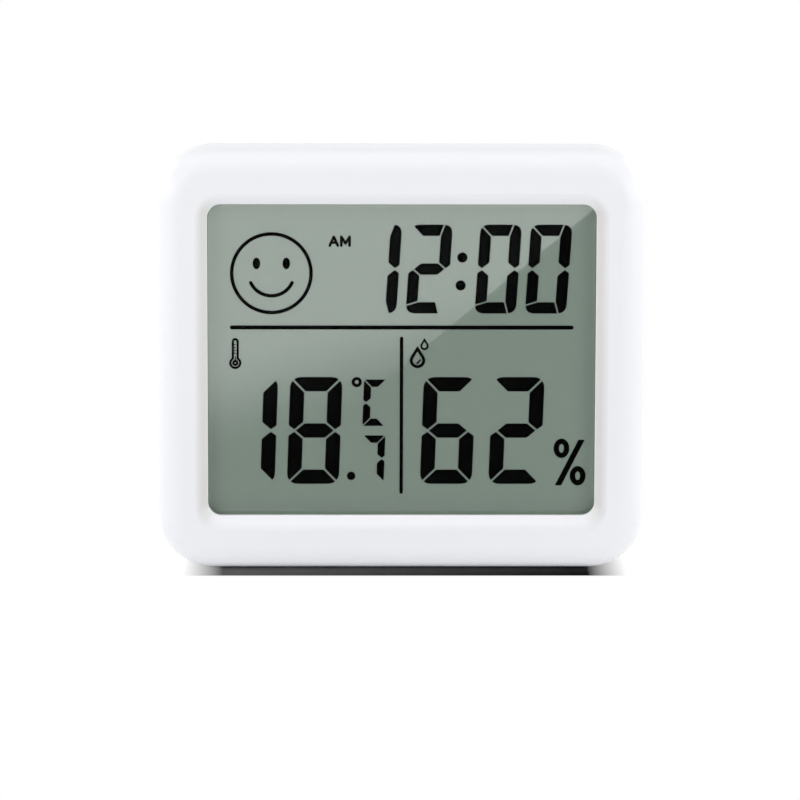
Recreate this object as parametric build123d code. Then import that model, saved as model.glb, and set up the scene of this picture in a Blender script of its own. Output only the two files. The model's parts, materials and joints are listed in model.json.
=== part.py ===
"""Temperature humidity sensor with a liquid-crystal display, as separate pieces.

The unit stands upright on its lower edge. X runs along its width, Y from the
display (front, negative) to the rear cover (positive), and Z up. The origin is
on the surface it stands on, at the middle of the width and of the depth.
"""

from build123d import *
from math import asin, cos, hypot, radians, sin, tan
import os

os.makedirs("parts", exist_ok=True)

# Case shells
case_width = 80.0
case_height = 70.0
case_depth = 10.0
case_corner_radius = 9.0
front_edge_fillet = 4.2
rear_edge_fillet = 1.2
side_wall = 1.5
front_wall = 1.8
rear_wall = 1.5
rear_cover_depth = 2.0
seam_chamfer = 0.2
tongue_thickness = 0.9
tongue_length = 1.2
tongue_gap = 0.1
overrun = 1.0

# Window in the front shell
window_side_border = 8.125
window_end_border = 9.15
window_corner_radius = 2.2
bevel_width = 1.75
bevel_depth = 1.2
bevel_softness = 0.6

# Window pane
pane_gap = 0.1
pane_recess = 0.05
pane_margin = 1.0
pane_flange = 0.5
pane_edge_chamfer = 0.15
locating_gap = 0.1
locating_rib = 0.8
locating_rib_height = 2.0

# Liquid-crystal cell, from front to back, with the foam behind it
gasket_thickness = 0.2
gasket_setback = 0.35
polariser_thickness = 0.15
polariser_inset = 0.3
glass_thickness = 0.55
cell_gap = 0.1
contact_ledge = 2.0
seal_inset = 0.2
seal_width = 0.5
segment_thickness = 0.06
reflector_thickness = 0.2
foam_thickness = 0.75
foam_width = 4.0
foam_inset = 0.6
zebra_thickness = 1.6
zebra_inset = 0.2
zebra_end_inset = 6.5

# Digits of the display: strokes, gaps between strokes and slopes in degrees
time_stroke = 1.85
time_stroke_gap = 0.25
time_slope_angle = 3.7
reading_stroke = 2.36
reading_stroke_gap = 0.34
reading_slope_angle = 2.0
small_stroke = 1.2
small_stroke_gap = 0.2
time_round_share = 0.68
reading_round_share = 0.7
small_round_share = 0.3
arc_chords = 3
small_arc_chords = 1
segment_tip_share = 0.4
segment_notch_share = 0.3
divider_thickness = 0.64
centre_divider_thickness = 0.55
colon_radius = 0.83
point_radius = 0.69
degree_radius = 0.84
degree_bore = 0.34
percent_stroke = 0.88
percent_slash = 0.9
letter_stroke = 0.42
face_radius = 6.8
face_stroke = 0.57
eye_half_width = 0.62
eye_half_height = 0.95
bulb_radius = 1.0
stem_half_width = 0.58
icon_stroke = 0.36
drop_radius = 1.27
drop_stroke = 0.48
small_drop_radius = 0.68
small_drop_stroke = 0.29

# Circuit board and its fixings
board_thickness = 1.0
board_low_gap = 0.5
board_boss_gap = 0.3
board_corner_radius = 1.5
board_boss_radius = 1.7
board_screw_radius = 0.7
board_screw_length = 2.4
board_screw_inset = 5.8
board_head_radius = 1.3
board_head_height = 0.6
screw_clearance = 0.1
thread_clearance = 0.03
ear_rise = 10.0
ear_border = 0.2
ear_boss_inset = 2.5
post_radius = 1.2
post_inset = 3.0
post_gap = 0.05

# Case screws
case_screw_radius = 1.0
case_screw_length = 5.5
case_head_radius = 1.6
case_head_height = 0.9
head_clearance = 0.2
counterbore_depth = 1.2
front_boss_radius = 1.8
rear_boss_radius = 2.4
boss_wall_gap = 0.1
boss_corner_gap = 0.6
boss_meeting_gap = 0.2
pilot_extra_depth = 0.6
cross_slot_share = 0.65
cross_slot_width = 0.4
cross_slot_depth = 0.4

# Button cell
coin_radius = 10.0
coin_height = 3.2
coin_wall = 0.25
coin_edge_fillet = 0.4
coin_cap_inset = 1.1
coin_cap_step = 0.2
coin_seal_gap = 0.05
coin_lip = 0.85
coin_cutout_gap = 0.5

# Battery compartment and its twist cover
compartment_gap = 0.25
compartment_wall = 0.95
compartment_board_gap = 0.2
door_reach = 0.75
door_gap = 0.15
door_recess = 0.1
door_thickness = 1.85
door_cell_gap = 0.05
door_edge_fillet = 0.2
lug_reach = 1.05
lug_thickness = 0.65
lug_gap = 0.2
lug_under_gap = 0.15
lug_over_gap = 0.1
lug_angle = 30.0
lug_side_angle = 1.0
lug_count = 3
first_lug_angle = 90.0
door_turn_angle = 45.0
groove_wall = 0.9
groove_shelf = 0.8
ring_side_gap = 0.6
door_rise = 5.0
coin_slot_length = 14.0
coin_slot_width = 1.8
coin_slot_depth = 0.6
mark_depth = 0.2
mark_radius = 0.45
mark_gap = 0.7
mark_stroke = 0.2

# Battery contacts
contact_thickness = 0.2
negative_contact_width = 4.0
contact_pad = 2.5
positive_contact_width = 4.0
positive_contact_foot = 1.6
positive_contact_shelf_gap = 0.1
positive_contact_gap = 0.05
positive_slot_gap = 0.5

# Fold-out stand and its recess
stand_thickness = 1.7
stand_face_gap = 0.15
stand_side_gap = 0.3
stand_tip_z = 7.0
stand_tip_gap = 0.3
stand_tip_radius = 2.0
stand_open_angle = 40.0
stand_stop_gap = 0.08
stand_pin_radius = 0.6
stand_pin_gap = 0.05
stand_pin_length = 1.2
stand_leg_width = 2.0
stand_slot_width = 1.0
stand_slot_length = 6.0
grip_count = 4
grip_pitch = 1.4
grip_width = 0.6
grip_depth = 0.3
grip_length = 12.0
grip_rise = 3.0
recess_depth = 2.0
tub_wall = 0.8
tub_floor = 0.8
notch_radius = 6.0
notch_drop = 2.4

# Keys and their switches
key_radius = 2.5
key_gap = 0.1
key_recess = 0.3
key_edge_fillet = 0.3
key_flange_radius = 3.2
key_flange_thickness = 0.5
key_flange_gap = 0.1
key_stem_radius = 1.0
key_travel = 0.25
key_pitch = 8.5
key_rise = 6.5
key_mark_length = 2.4
key_mark_width = 0.45
key_mark_depth = 0.15
switch_size = 3.6
switch_clearance = 0.65
switch_base = 0.25
switch_tab_length = 0.5
switch_tab_width = 0.6
switch_tab_thickness = 0.15
plunger_radius = 0.8
plunger_gap = 0.05
plunger_end_gap = 0.1

# Vents and sensors
vent_count = 5
vent_length = 10.0
vent_width = 1.2
vent_pitch = 2.4
vent_z = 17.0
cage_width = 9.0
cage_height = 6.0
cage_wall = 0.5
cage_rear_gap = 0.5
cage_bar_count = 3
element_width = 5.0
element_height = 4.0
element_thickness = 0.6
thermistor_radius = 0.7
thermistor_lift = 0.3
lead_radius = 0.15
thermistor_offset = 6.7

# Wall keyhole
keyhole_top_inset = 13.0
keyhole_entry_radius = 3.5
keyhole_slot_radius = 1.7
keyhole_rise = 4.5
keyhole_pocket_gap = 0.2
keyhole_wall = 0.8
keyhole_back = 0.6
keyhole_board_gap = 0.3

# Parts on the board
controller_radius = 5.0
controller_low_gap = 28.0
controller_clearance = 0.3
controller_round_share = 0.8
crystal_radius = 0.75
crystal_length = 5.0
crystal_lead_length = 1.5
crystal_side_offset = 4.0
chip_length = 1.6
chip_width = 0.8
capacitor_height_share = 0.5
resistor_height_share = 0.32
chip_pitch = 3.0
crystal_chip_gap = 1.4
chip_rows = 4

# Layers that meet one behind the other from the front face to the rear face. They
# add up to the case's depth, and in a deeper or slimmer case they share its depth
# in the same proportions.
layers = [
    front_wall, pane_flange, gasket_thickness, polariser_thickness, glass_thickness, cell_gap,
    glass_thickness, reflector_thickness, foam_thickness, coin_height, door_cell_gap,
    door_thickness, door_recess,
]
layer_scale = case_depth / sum(layers)

# Depth of each layer, counted from the front and rear faces
front_y = -case_depth / 2
rear_y = case_depth / 2
front_inner_y = front_y + layer_scale * front_wall
rear_inner_y = rear_y - rear_wall
seam_y = rear_y - rear_cover_depth
pane_front_y = front_y + bevel_depth + pane_recess
pane_rear_y = front_inner_y + layer_scale * pane_flange
gasket_rear_y = pane_rear_y + layer_scale * gasket_thickness
polariser_rear_y = gasket_rear_y + layer_scale * polariser_thickness
front_glass_rear_y = polariser_rear_y + layer_scale * glass_thickness
rear_glass_front_y = front_glass_rear_y + layer_scale * cell_gap
rear_glass_rear_y = rear_glass_front_y + layer_scale * glass_thickness
reflector_rear_y = rear_glass_rear_y + layer_scale * reflector_thickness
board_front_y = reflector_rear_y + layer_scale * foam_thickness
board_rear_y = board_front_y + layer_scale * board_thickness
coin_front_y = board_front_y
coin_rear_y = coin_front_y + layer_scale * coin_height
door_front_y = coin_rear_y + layer_scale * door_cell_gap
door_face_y = door_front_y + layer_scale * door_thickness
groove_front_y = door_front_y - lug_under_gap
groove_rear_y = door_front_y + lug_thickness + lug_over_gap
recess_floor_y = rear_y - recess_depth
tub_front_y = recess_floor_y - tub_floor
stand_front_y = recess_floor_y + stand_face_gap
stand_rear_y = stand_front_y + stand_thickness
key_flange_rear_y = rear_inner_y - key_flange_gap
key_flange_front_y = key_flange_rear_y - key_flange_thickness
switch_rear_y = key_flange_front_y - key_travel - switch_clearance
key_stem_front_y = switch_rear_y + key_travel + plunger_gap
plunger_front_y = board_rear_y + switch_base + key_travel + plunger_end_gap
boss_meeting_y = seam_y - tongue_length - boss_meeting_gap
counterbore_y = rear_y - counterbore_depth
keyhole_back_y = board_rear_y + keyhole_board_gap

# Outlines shared by several pieces
inner_half_width = case_width / 2 - side_wall
inner_corner_radius = case_corner_radius - side_wall
case_centre_z = case_height / 2
window_width = case_width - 2 * window_side_border
window_height = case_height - 2 * window_end_border
display_half_width = window_width / 2 + pane_margin
display_low_z = window_end_border - pane_margin - contact_ledge
display_high_z = case_height - window_end_border + pane_margin
tongue_inset = side_wall + tongue_gap + tongue_thickness

# Centres of the fixings, the battery, the keys and the stand
case_screw_x = inner_half_width - tongue_gap - boss_wall_gap - rear_boss_radius
case_screw_low_z = case_corner_radius + rear_boss_radius + boss_corner_gap
case_screw_places = [
    (side * case_screw_x, z)
    for side in (-1, 1)
    for z in (case_screw_low_z, case_height - case_screw_low_z)
]
board_half_width = case_screw_x - front_boss_radius - board_boss_gap
board_low_z = side_wall + board_low_gap
ear_x = inner_half_width - ear_boss_inset
ear_z = case_screw_low_z + ear_rise
ear_half_height = board_boss_radius + ear_border
board_screw_places = [
    (side * x, z)
    for side in (-1, 1)
    for x, z in (
        (board_half_width - board_screw_inset, tongue_inset + board_head_radius + screw_clearance),
        (ear_x, ear_z),
    )
]
coin_cap_radius = coin_radius - coin_cap_inset
compartment_radius = coin_radius + compartment_gap
door_radius = coin_radius + door_reach
door_hole_radius = door_radius + door_gap
lug_radius = door_radius + lug_reach
groove_radius = lug_radius + lug_gap
ring_radius = groove_radius + groove_wall
door_x = inner_half_width - ring_side_gap - ring_radius
door_z = case_centre_z + door_rise
recess_half_width = door_x - ring_radius - tub_wall
stand_half_width = recess_half_width - stand_side_gap
key_x = -door_x
key_middle_z = case_centre_z + key_rise
key_heights = {
    "up": key_middle_z + key_pitch,
    "mode": key_middle_z,
    "down": key_middle_z - key_pitch,
}
keyhole_z = case_height - keyhole_top_inset
keyhole_pocket_radius = keyhole_entry_radius + keyhole_pocket_gap
stand_heel = stand_thickness / 2
stand_axis_y = stand_front_y + stand_heel
stop_rise = stand_heel * (cos(radians(stand_open_angle)) + sin(radians(stand_open_angle))) + stand_stop_gap
recess_top_z = keyhole_z - keyhole_pocket_radius - keyhole_wall - tub_wall
stand_axis_z = recess_top_z - stop_rise
recess_low_z = stand_tip_z - stand_tip_gap


def slab(sketch, front, rear):
    """Extrude a sketch, drawn as seen from the front, between two depths."""
    place = Plane(origin=(0, rear, 0), x_dir=(1, 0, 0), z_dir=(0, -1, 0))
    return extrude(place * sketch, rear - front)


def bar(left, right, low, high, front, rear):
    """Box between two places along each axis."""
    centre = ((left + right) / 2, (front + rear) / 2, (low + high) / 2)
    return Pos(*centre) * Box(right - left, rear - front, high - low)


def post(x, z, radius, front, rear):
    """Round bar along the depth."""
    return slab(Pos(x, z) * Circle(radius), front, rear)


def cross_rod(radius, half_length, y, z, x=0):
    """Round bar along the width."""
    return Pos(x, y, z) * Rot(0, 90, 0) * Cylinder(radius, 2 * half_length)


def case_plate(inset, corner, front, rear):
    """Rounded slab with the outline of the case, drawn in by an inset."""
    outline = RectangleRounded(case_width - 2 * inset, case_height - 2 * inset, corner)
    return slab(Pos(0, case_centre_z) * outline, front, rear)


def window_plate(grow, front, rear):
    """Rounded slab with the outline of the window, grown on every side."""
    outline = RectangleRounded(
        window_width + 2 * grow, window_height + 2 * grow, window_corner_radius + grow
    )
    return slab(Pos(0, case_centre_z) * outline, front, rear)


def display_plate(front, rear, inset=0, lift=0):
    """Slab with the outline that the layers of the display share."""
    half = display_half_width - inset
    return bar(-half, half, display_low_z + inset + lift, display_high_z - inset, front, rear)


def front_face(body):
    """The face that lies furthest towards the front."""
    return body.faces().sort_by(Axis.Y)[0]


def rear_face(body):
    """The face that lies furthest towards the rear."""
    return body.faces().sort_by(Axis.Y)[-1]


def sector(x, z, radius, start, end):
    """Pie slice of a circle between two angles, in degrees."""
    def rim(angle):
        return (x + radius * cos(radians(angle)), z + radius * sin(radians(angle)))

    arc = ThreePointArc(rim(start), rim((start + end) / 2), rim(end))
    return make_face([Line((x, z), rim(start)), arc, Line(rim(end), (x, z))])


def inset_outline(points, distance):
    """Move every edge of a closed outline inwards by one distance."""
    pairs = list(zip(points, points[1:] + points[:1]))
    turn = 1 if sum(ax * bz - bx * az for (ax, az), (bx, bz) in pairs) > 0 else -1
    edges = []
    for (ax, az), (bx, bz) in pairs:
        length = hypot(bx - ax, bz - az)
        dx = (bx - ax) / length
        dz = (bz - az) / length
        edges.append((ax - turn * dz * distance, az + turn * dx * distance, dx, dz))
    moved = []
    for (px, pz, pdx, pdz), (qx, qz, qdx, qdz) in zip(edges[-1:] + edges[:-1], edges):
        step = ((qx - px) * qdz - (qz - pz) * qdx) / (pdx * qdz - pdz * qdx)
        moved.append((px + step * pdx, pz + step * pdz))
    return moved


def polygon(points):
    """Face inside a closed outline."""
    return make_face(Polyline(*points, close=True))


# Segments that are dark for each character, with the letters a to g that such digits use
lit_segments = {
    "0": "abcdef",
    "1": "bc",
    "2": "abdeg",
    "6": "acdefg",
    "7": "abc",
    "8": "abcdefg",
    "C": "adef",
}
# Where the mitre between two segments meets the arc of each outer corner:
# 0 is the arc's end on the level edge and 1 its end on the upright edge
even_mitre_shares = {"top left": 0.5, "top right": 0.5, "bottom left": 0.5, "bottom right": 0.5}
time_mitre_shares = {"top left": 0.5, "top right": 0, "bottom left": 1, "bottom right": 0}

# A style gives the stroke, gap, slope, corner rounding, chords of an arc and mitres
time_style = (
    time_stroke, time_stroke_gap, time_slope_angle, time_round_share, arc_chords, time_mitre_shares,
)
reading_style = (
    reading_stroke, reading_stroke_gap, reading_slope_angle, reading_round_share, arc_chords,
    even_mitre_shares,
)
small_style = (
    small_stroke, small_stroke_gap, reading_slope_angle, small_round_share, small_arc_chords,
    even_mitre_shares,
)


def segment_outlines(width, height, stroke, round_share, chords, mitre_shares):
    """Outlines of the segments a to g in an upright box.

    Each outer corner is an arc of a few chords, split by the mitre that runs out
    to it from the inner corner.
    """
    radius = round_share * stroke
    middle = height / 2
    tip = segment_tip_share * stroke
    notch = segment_notch_share * stroke

    def arc_point(share):
        angle = radians(90 * share)
        return (radius - radius * sin(angle), radius - radius * cos(angle))

    def place(corner, point):
        x, z = point
        return (width - x if "right" in corner else x, height - z if "top" in corner else z)

    def arc_run(start, end):
        steps = range(chords + 1) if end > start else [0]
        return [arc_point(start + (end - start) * step / chords) for step in steps]

    def level(end):
        left = [place(end + " left", p) for p in arc_run(0, mitre_shares[end + " left"])]
        right = [place(end + " right", p) for p in arc_run(0, mitre_shares[end + " right"])]
        inner = [place(end + " right", (stroke, stroke)), place(end + " left", (stroke, stroke))]
        return left[::-1] + right + inner

    def upright(corner):
        run = arc_run(mitre_shares[corner], 1)
        inner = [(0, middle - notch), (tip, middle), (stroke, middle - stroke / 2), (stroke, stroke)]
        return [place(corner, p) for p in run + inner]

    bar_low = middle - stroke / 2
    bar_high = middle + stroke / 2
    crossbar = [
        (tip, middle), (stroke, bar_high), (width - stroke, bar_high),
        (width - tip, middle), (width - stroke, bar_low), (stroke, bar_low),
    ]
    return {
        "a": level("top"),
        "b": upright("top right"),
        "c": upright("bottom right"),
        "d": level("bottom"),
        "e": upright("bottom left"),
        "f": upright("top left"),
        "g": crossbar,
    }


def digit(character, left, low, size, style):
    """Faces of one seven-segment character that leans to the right by a slope."""
    width, height = size
    stroke, gap, slope, round_share, chords, mitre_shares = style
    outlines = segment_outlines(
        width + gap, height + gap, stroke + gap, round_share, chords, mitre_shares
    )
    faces = []
    for name in lit_segments[character]:
        points = inset_outline(outlines[name], gap / 2)
        leaning = [
            (left - gap / 2 + x + z * tan(radians(slope)), low - gap / 2 + z) for x, z in points
        ]
        faces.append(polygon(leaning))
    return faces


def on_display(x_share, z_share):
    """Place on the display, from shares of the window's width and height."""
    return (x_share * window_width, case_centre_z + z_share * window_height)


def stroke_bar(start, end, width):
    """Straight stroke with round ends between two places."""
    dx = end[0] - start[0]
    dz = end[1] - start[1]
    length = hypot(dx, dz)
    nx = -dz / length * width / 2
    nz = dx / length * width / 2
    sides = [
        (start[0] + nx, start[1] + nz), (end[0] + nx, end[1] + nz),
        (end[0] - nx, end[1] - nz), (start[0] - nx, start[1] - nz),
    ]
    ends = Pos(*start) * Circle(width / 2) + Pos(*end) * Circle(width / 2)
    return polygon(sides) + ends


def level_cut_bar(start, end, width):
    """Slanting stroke between two heights, with its ends cut level."""
    dx = end[0] - start[0]
    dz = end[1] - start[1]
    half = width / 2 * hypot(dx, dz) / dz
    return polygon([
        (start[0] - half, start[1]), (start[0] + half, start[1]),
        (end[0] + half, end[1]), (end[0] - half, end[1]),
    ])


def ring(centre, half_width, half_height, stroke):
    """Oval line around a centre."""
    outer = Pos(*centre) * Ellipse(half_width, half_height)
    return outer - Pos(*centre) * Ellipse(half_width - stroke, half_height - stroke)


def segment_group(faces):
    """Thin dark layer on the rear of the front glass, one solid for each face."""
    layer_rear_y = front_glass_rear_y + segment_thickness
    return Part() + [slab(face, front_glass_rear_y, layer_rear_y) for face in faces]


# Places and sizes on the display, as shares of the window's width and height
time_digit_shares = [("1", -0.1206), ("2", 0.0099), ("0", 0.1878), ("0", 0.3177)]
time_low_share = 0.1461
time_size_share = (0.1064, 0.2845)
colon_shares = [(0.1560, 0.3254), (0.1519, 0.2359)]
morning_low_share = 0.3635
morning_high_share = 0.3915
letter_a_shares = (-0.1853, -0.1647)
letter_m_shares = (-0.1557, -0.1343)
reading_low_share = -0.4052
reading_size_share = (0.1346, 0.3455)
temperature_digit_shares = [("1", -0.4632), ("8", -0.2968)]
small_size_share = (0.0572, 0.1495)
small_places = [("C", -0.1009, -0.2171), ("7", -0.1029, -0.3981)]
point_share = (-0.1301, -0.3796)
degree_share = (-0.1157, -0.0756)
humidity_digit_shares = [("6", 0.0482), ("2", 0.2259)]
percent_ring_shares = [(0.4154, -0.2901), (0.4580, -0.3792)]
percent_ring_size_share = (0.0203, 0.0312)
percent_slash_shares = [(0.4071, -0.4100), (0.4673, -0.2625)]
divider_shares = [(-0.4376, 0.1005), (0.4392, 0.1005)]
centre_divider_shares = [(0, 0.0654), (0, -0.4323)]
face_share = (-0.3357, 0.2745)
eye_place_shares = (0.36, 0.24)
smile_radius_share = 0.55
smile_start_angle = 205
smile_end_angle = 335
thermometer_x_share = -0.4293
thermometer_bulb_share = -0.0140
thermometer_top_share = 0.0659
scale_start_share = 1.6
tick_count = 4
drop_share = (0.0413, -0.0302, 0.0408)
small_drop_share = (0.0593, 0.0279, 0.0660)
glint_start_shares = (-0.05, 0.62)
glint_end_shares = (0.38, 1.05)


def digit_row(table, low_share, size_share, style):
    """Faces of a row of digits from a table of characters and places."""
    size = (size_share[0] * window_width, size_share[1] * window_height)
    faces = []
    for character, x_share in table:
        left, low = on_display(x_share, low_share)
        faces += digit(character, left, low, size, style)
    return faces


def morning_letters():
    """The letters that mark the morning hours, as round-ended strokes."""
    low = morning_low_share
    high = morning_high_share
    a_left, a_right = letter_a_shares
    a_middle = (a_left + a_right) / 2
    m_left, m_right = letter_m_shares
    m_middle = (m_left + m_right) / 2
    bar_share = low + (high - low) / 3
    valley_share = low + (high - low) / 4
    reach_share = (a_right - a_left) / 3
    strokes_a = [
        ((a_left, low), (a_middle, high)),
        ((a_right, low), (a_middle, high)),
        ((a_middle - reach_share, bar_share), (a_middle + reach_share, bar_share)),
    ]
    strokes_m = [
        ((m_left, low), (m_left, high)),
        ((m_left, high), (m_middle, valley_share)),
        ((m_right, high), (m_middle, valley_share)),
        ((m_right, low), (m_right, high)),
    ]
    letters = []
    for strokes in (strokes_a, strokes_m):
        lines = [stroke_bar(on_display(*p), on_display(*q), letter_stroke) for p, q in strokes]
        letters.append(Sketch() + lines)
    return letters


def time_segments():
    """Hours, minutes, colon and the morning mark."""
    faces = digit_row(time_digit_shares, time_low_share, time_size_share, time_style)
    faces += [Pos(*on_display(*share)) * Circle(colon_radius) for share in colon_shares]
    return segment_group(faces + morning_letters())


def temperature_segments():
    """Temperature digits, decimal point, tenths, degree ring and unit letter."""
    faces = digit_row(temperature_digit_shares, reading_low_share, reading_size_share, reading_style)
    for character, left_share, low_share in small_places:
        faces += digit_row([(character, left_share)], low_share, small_size_share, small_style)
    faces.append(Pos(*on_display(*point_share)) * Circle(point_radius))
    degree_stroke = degree_radius - degree_bore
    faces.append(ring(on_display(*degree_share), degree_radius, degree_radius, degree_stroke))
    return segment_group(faces)


def humidity_segments():
    """Humidity digits and the per cent sign."""
    faces = digit_row(humidity_digit_shares, reading_low_share, reading_size_share, reading_style)
    half_width = percent_ring_size_share[0] * window_width
    half_height = percent_ring_size_share[1] * window_height
    for share in percent_ring_shares:
        faces.append(ring(on_display(*share), half_width, half_height, percent_stroke))
    start, end = percent_slash_shares
    faces.append(level_cut_bar(on_display(*start), on_display(*end), percent_slash))
    return segment_group(faces)


def comfort_face():
    """Generic smiling comfort mark: a ring, two oval eyes and a smile."""
    x, z = on_display(*face_share)
    smile_radius = face_radius * smile_radius_share
    eye_x, eye_z = (face_radius * share for share in eye_place_shares)
    rim = ring((x, z), face_radius, face_radius, face_stroke)
    eyes = [
        Pos(x + side * eye_x, z + eye_z) * Ellipse(eye_half_width, eye_half_height)
        for side in (-1, 1)
    ]
    band = ring((x, z), smile_radius + face_stroke / 2, smile_radius + face_stroke / 2, face_stroke)
    smile = band & sector(x, z, face_radius, smile_start_angle, smile_end_angle)
    for angle in (smile_start_angle, smile_end_angle):
        end_x = x + smile_radius * cos(radians(angle))
        end_z = z + smile_radius * sin(radians(angle))
        smile += Pos(end_x, end_z) * Circle(face_stroke / 2)
    return [rim, smile] + eyes


def thermometer_outline(x, bulb_z, top_z, trim):
    """Bulb and stem in one outline, drawn in by a trim."""
    half = stem_half_width - trim
    stem_high = top_z - stem_half_width
    stem = polygon([(x - half, bulb_z), (x + half, bulb_z), (x + half, stem_high), (x - half, stem_high)])
    ends = Pos(x, bulb_z) * Circle(bulb_radius - trim) + Pos(x, stem_high) * Circle(half)
    return stem + ends


def thermometer_mark():
    """Thermometer icon with a line around it, a filled bulb and a scale."""
    x, bulb_z = on_display(thermometer_x_share, thermometer_bulb_share)
    top_z = on_display(0, thermometer_top_share)[1]
    rim = thermometer_outline(x, bulb_z, top_z, 0) - thermometer_outline(x, bulb_z, top_z, icon_stroke)
    bulb = ring((x, bulb_z), bulb_radius / 2, bulb_radius / 2, icon_stroke)
    neck = stroke_bar((x, bulb_z + bulb_radius / 2), (x, bulb_z + bulb_radius), icon_stroke / 2)
    scale_low = bulb_z + bulb_radius * scale_start_share
    scale_step = (top_z - stem_half_width - scale_low) / tick_count
    tick_x = x - stem_half_width + icon_stroke
    for step in range(tick_count):
        tick_z = scale_low + step * scale_step
        rim += stroke_bar((tick_x, tick_z), (x, tick_z), icon_stroke / 2)
    return [rim, bulb + neck]


def drop_outline(x, low, high, radius, trim):
    """Teardrop: a circle and its two tangents up to a tip, drawn in by a trim."""
    centre_z = low + radius
    reach = high - centre_z
    half_angle = asin(radius / reach)
    inner = radius - trim
    tip_z = centre_z + inner / sin(half_angle)
    side_x = inner * cos(half_angle)
    side_z = centre_z + inner * sin(half_angle)
    tip = polygon([(x, tip_z), (x + side_x, side_z), (x - side_x, side_z)])
    return tip + Pos(x, centre_z) * Circle(inner)


def drop_mark(share, radius, stroke, glint):
    """Water drop icon drawn as a line, with an optional glint line inside."""
    x, low = on_display(share[0], share[1])
    high = on_display(0, share[2])[1]
    faces = [drop_outline(x, low, high, radius, 0) - drop_outline(x, low, high, radius, stroke)]
    if glint:
        start, end = (
            (x + radius * x_share, low + radius * z_share)
            for x_share, z_share in (glint_start_shares, glint_end_shares)
        )
        faces.append(stroke_bar(start, end, stroke / 2))
    return faces


def icon_segments():
    """Comfort mark, thermometer, drops and the two divider lines."""
    start, end = divider_shares
    faces = [stroke_bar(on_display(*start), on_display(*end), divider_thickness)]
    start, end = centre_divider_shares
    faces.append(stroke_bar(on_display(*start), on_display(*end), centre_divider_thickness))
    faces += comfort_face() + thermometer_mark()
    faces += drop_mark(drop_share, drop_radius, drop_stroke, True)
    faces += drop_mark(small_drop_share, small_drop_radius, small_drop_stroke, False)
    return segment_group(faces)


def window_bevel():
    """Funnel that the bevel around the window removes."""
    wide = window_plate(bevel_width, front_y, front_y + bevel_depth)
    narrow = window_plate(0, front_y, front_y + bevel_depth)
    return loft([front_face(wide), rear_face(narrow)], ruled=True)


def front_bezel():
    """Front shell with its window, locating ribs and screw bosses."""
    shell = case_plate(0, case_corner_radius, front_y, seam_y)
    shell = fillet(front_face(shell).edges(), front_edge_fillet)
    shell = chamfer(rear_face(shell).edges(), seam_chamfer)
    cavity = case_plate(side_wall, inner_corner_radius, front_inner_y, seam_y + overrun)
    shell -= fillet(front_face(cavity).edges(), front_edge_fillet - side_wall)
    shell -= window_bevel()
    shell -= window_plate(0, front_y, front_inner_y + overrun)
    shell = fillet(front_face(shell).inner_wires()[0].edges(), bevel_softness)
    rib_rear_y = front_inner_y + locating_rib_height
    ribs = display_plate(front_inner_y, rib_rear_y, -locating_gap - locating_rib)
    shell += ribs - display_plate(front_inner_y - overrun, rib_rear_y + overrun, -locating_gap)
    for x, z in case_screw_places:
        shell += post(x, z, front_boss_radius, front_inner_y, boss_meeting_y)
    for x, z in board_screw_places:
        shell += post(x, z, board_boss_radius, front_inner_y, board_front_y)
    for x, z in case_screw_places:
        pilot_y = counterbore_y - case_screw_length - pilot_extra_depth
        shell -= post(x, z, case_screw_radius + thread_clearance, pilot_y, boss_meeting_y + overrun)
    for x, z in board_screw_places:
        pilot_y = board_rear_y - board_screw_length - pilot_extra_depth
        shell -= post(x, z, board_screw_radius + thread_clearance, pilot_y, board_front_y + overrun)
    return shell


def display_window():
    """Clear pane: a raised panel in the opening and a flange behind it."""
    panel = window_plate(-pane_gap, pane_front_y, pane_rear_y)
    panel = chamfer(front_face(panel).edges(), pane_edge_chamfer)
    return panel + display_plate(front_inner_y, pane_rear_y)


def window_gasket():
    """Dark foam frame between the pane and the display, set back from the opening."""
    frame = display_plate(pane_rear_y, gasket_rear_y)
    return frame - window_plate(gasket_setback, pane_rear_y - overrun, gasket_rear_y + overrun)


def lcd_front_polariser():
    return display_plate(gasket_rear_y, polariser_rear_y, polariser_inset)


def lcd_front_glass():
    return display_plate(polariser_rear_y, front_glass_rear_y)


def lcd_seal():
    """Thin frame that holds the two panes of glass apart."""
    outer = display_plate(front_glass_rear_y, rear_glass_front_y, seal_inset, contact_ledge)
    inner_inset = seal_inset + seal_width
    hole_front = front_glass_rear_y - overrun
    hole_rear = rear_glass_front_y + overrun
    return outer - display_plate(hole_front, hole_rear, inner_inset, contact_ledge)


def lcd_rear_glass():
    return display_plate(rear_glass_front_y, rear_glass_rear_y, 0, contact_ledge)


def lcd_reflector():
    return display_plate(rear_glass_rear_y, reflector_rear_y, polariser_inset, contact_ledge)


def lcd_support_foam():
    """Foam frame between the reflector and the board, open below and at the button cell."""
    half = display_half_width - foam_inset
    low = display_low_z + contact_ledge + foam_inset
    high = display_high_z - foam_inset
    inner = half - foam_width
    foam = bar(-half, half, low, high, reflector_rear_y, board_front_y)
    opening_front = reflector_rear_y - overrun
    opening_rear = board_front_y + overrun
    foam -= bar(-inner, inner, low - overrun, high - foam_width, opening_front, opening_rear)
    clear = coin_radius + coin_cutout_gap + foam_inset
    foam -= post(door_x, door_z, clear, opening_front, opening_rear)
    half = negative_contact_width / 2 + foam_inset
    reach = clear + contact_pad
    low = door_z - reach
    high = door_z + reach
    return foam - bar(door_x - half, door_x + half, low, high, opening_front, opening_rear)


def zebra_strip():
    """Rubber connector between the glass ledge and the board."""
    half = display_half_width - zebra_end_inset
    low = display_low_z + zebra_inset
    return bar(-half, half, low, low + zebra_thickness, front_glass_rear_y, board_front_y)


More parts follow.
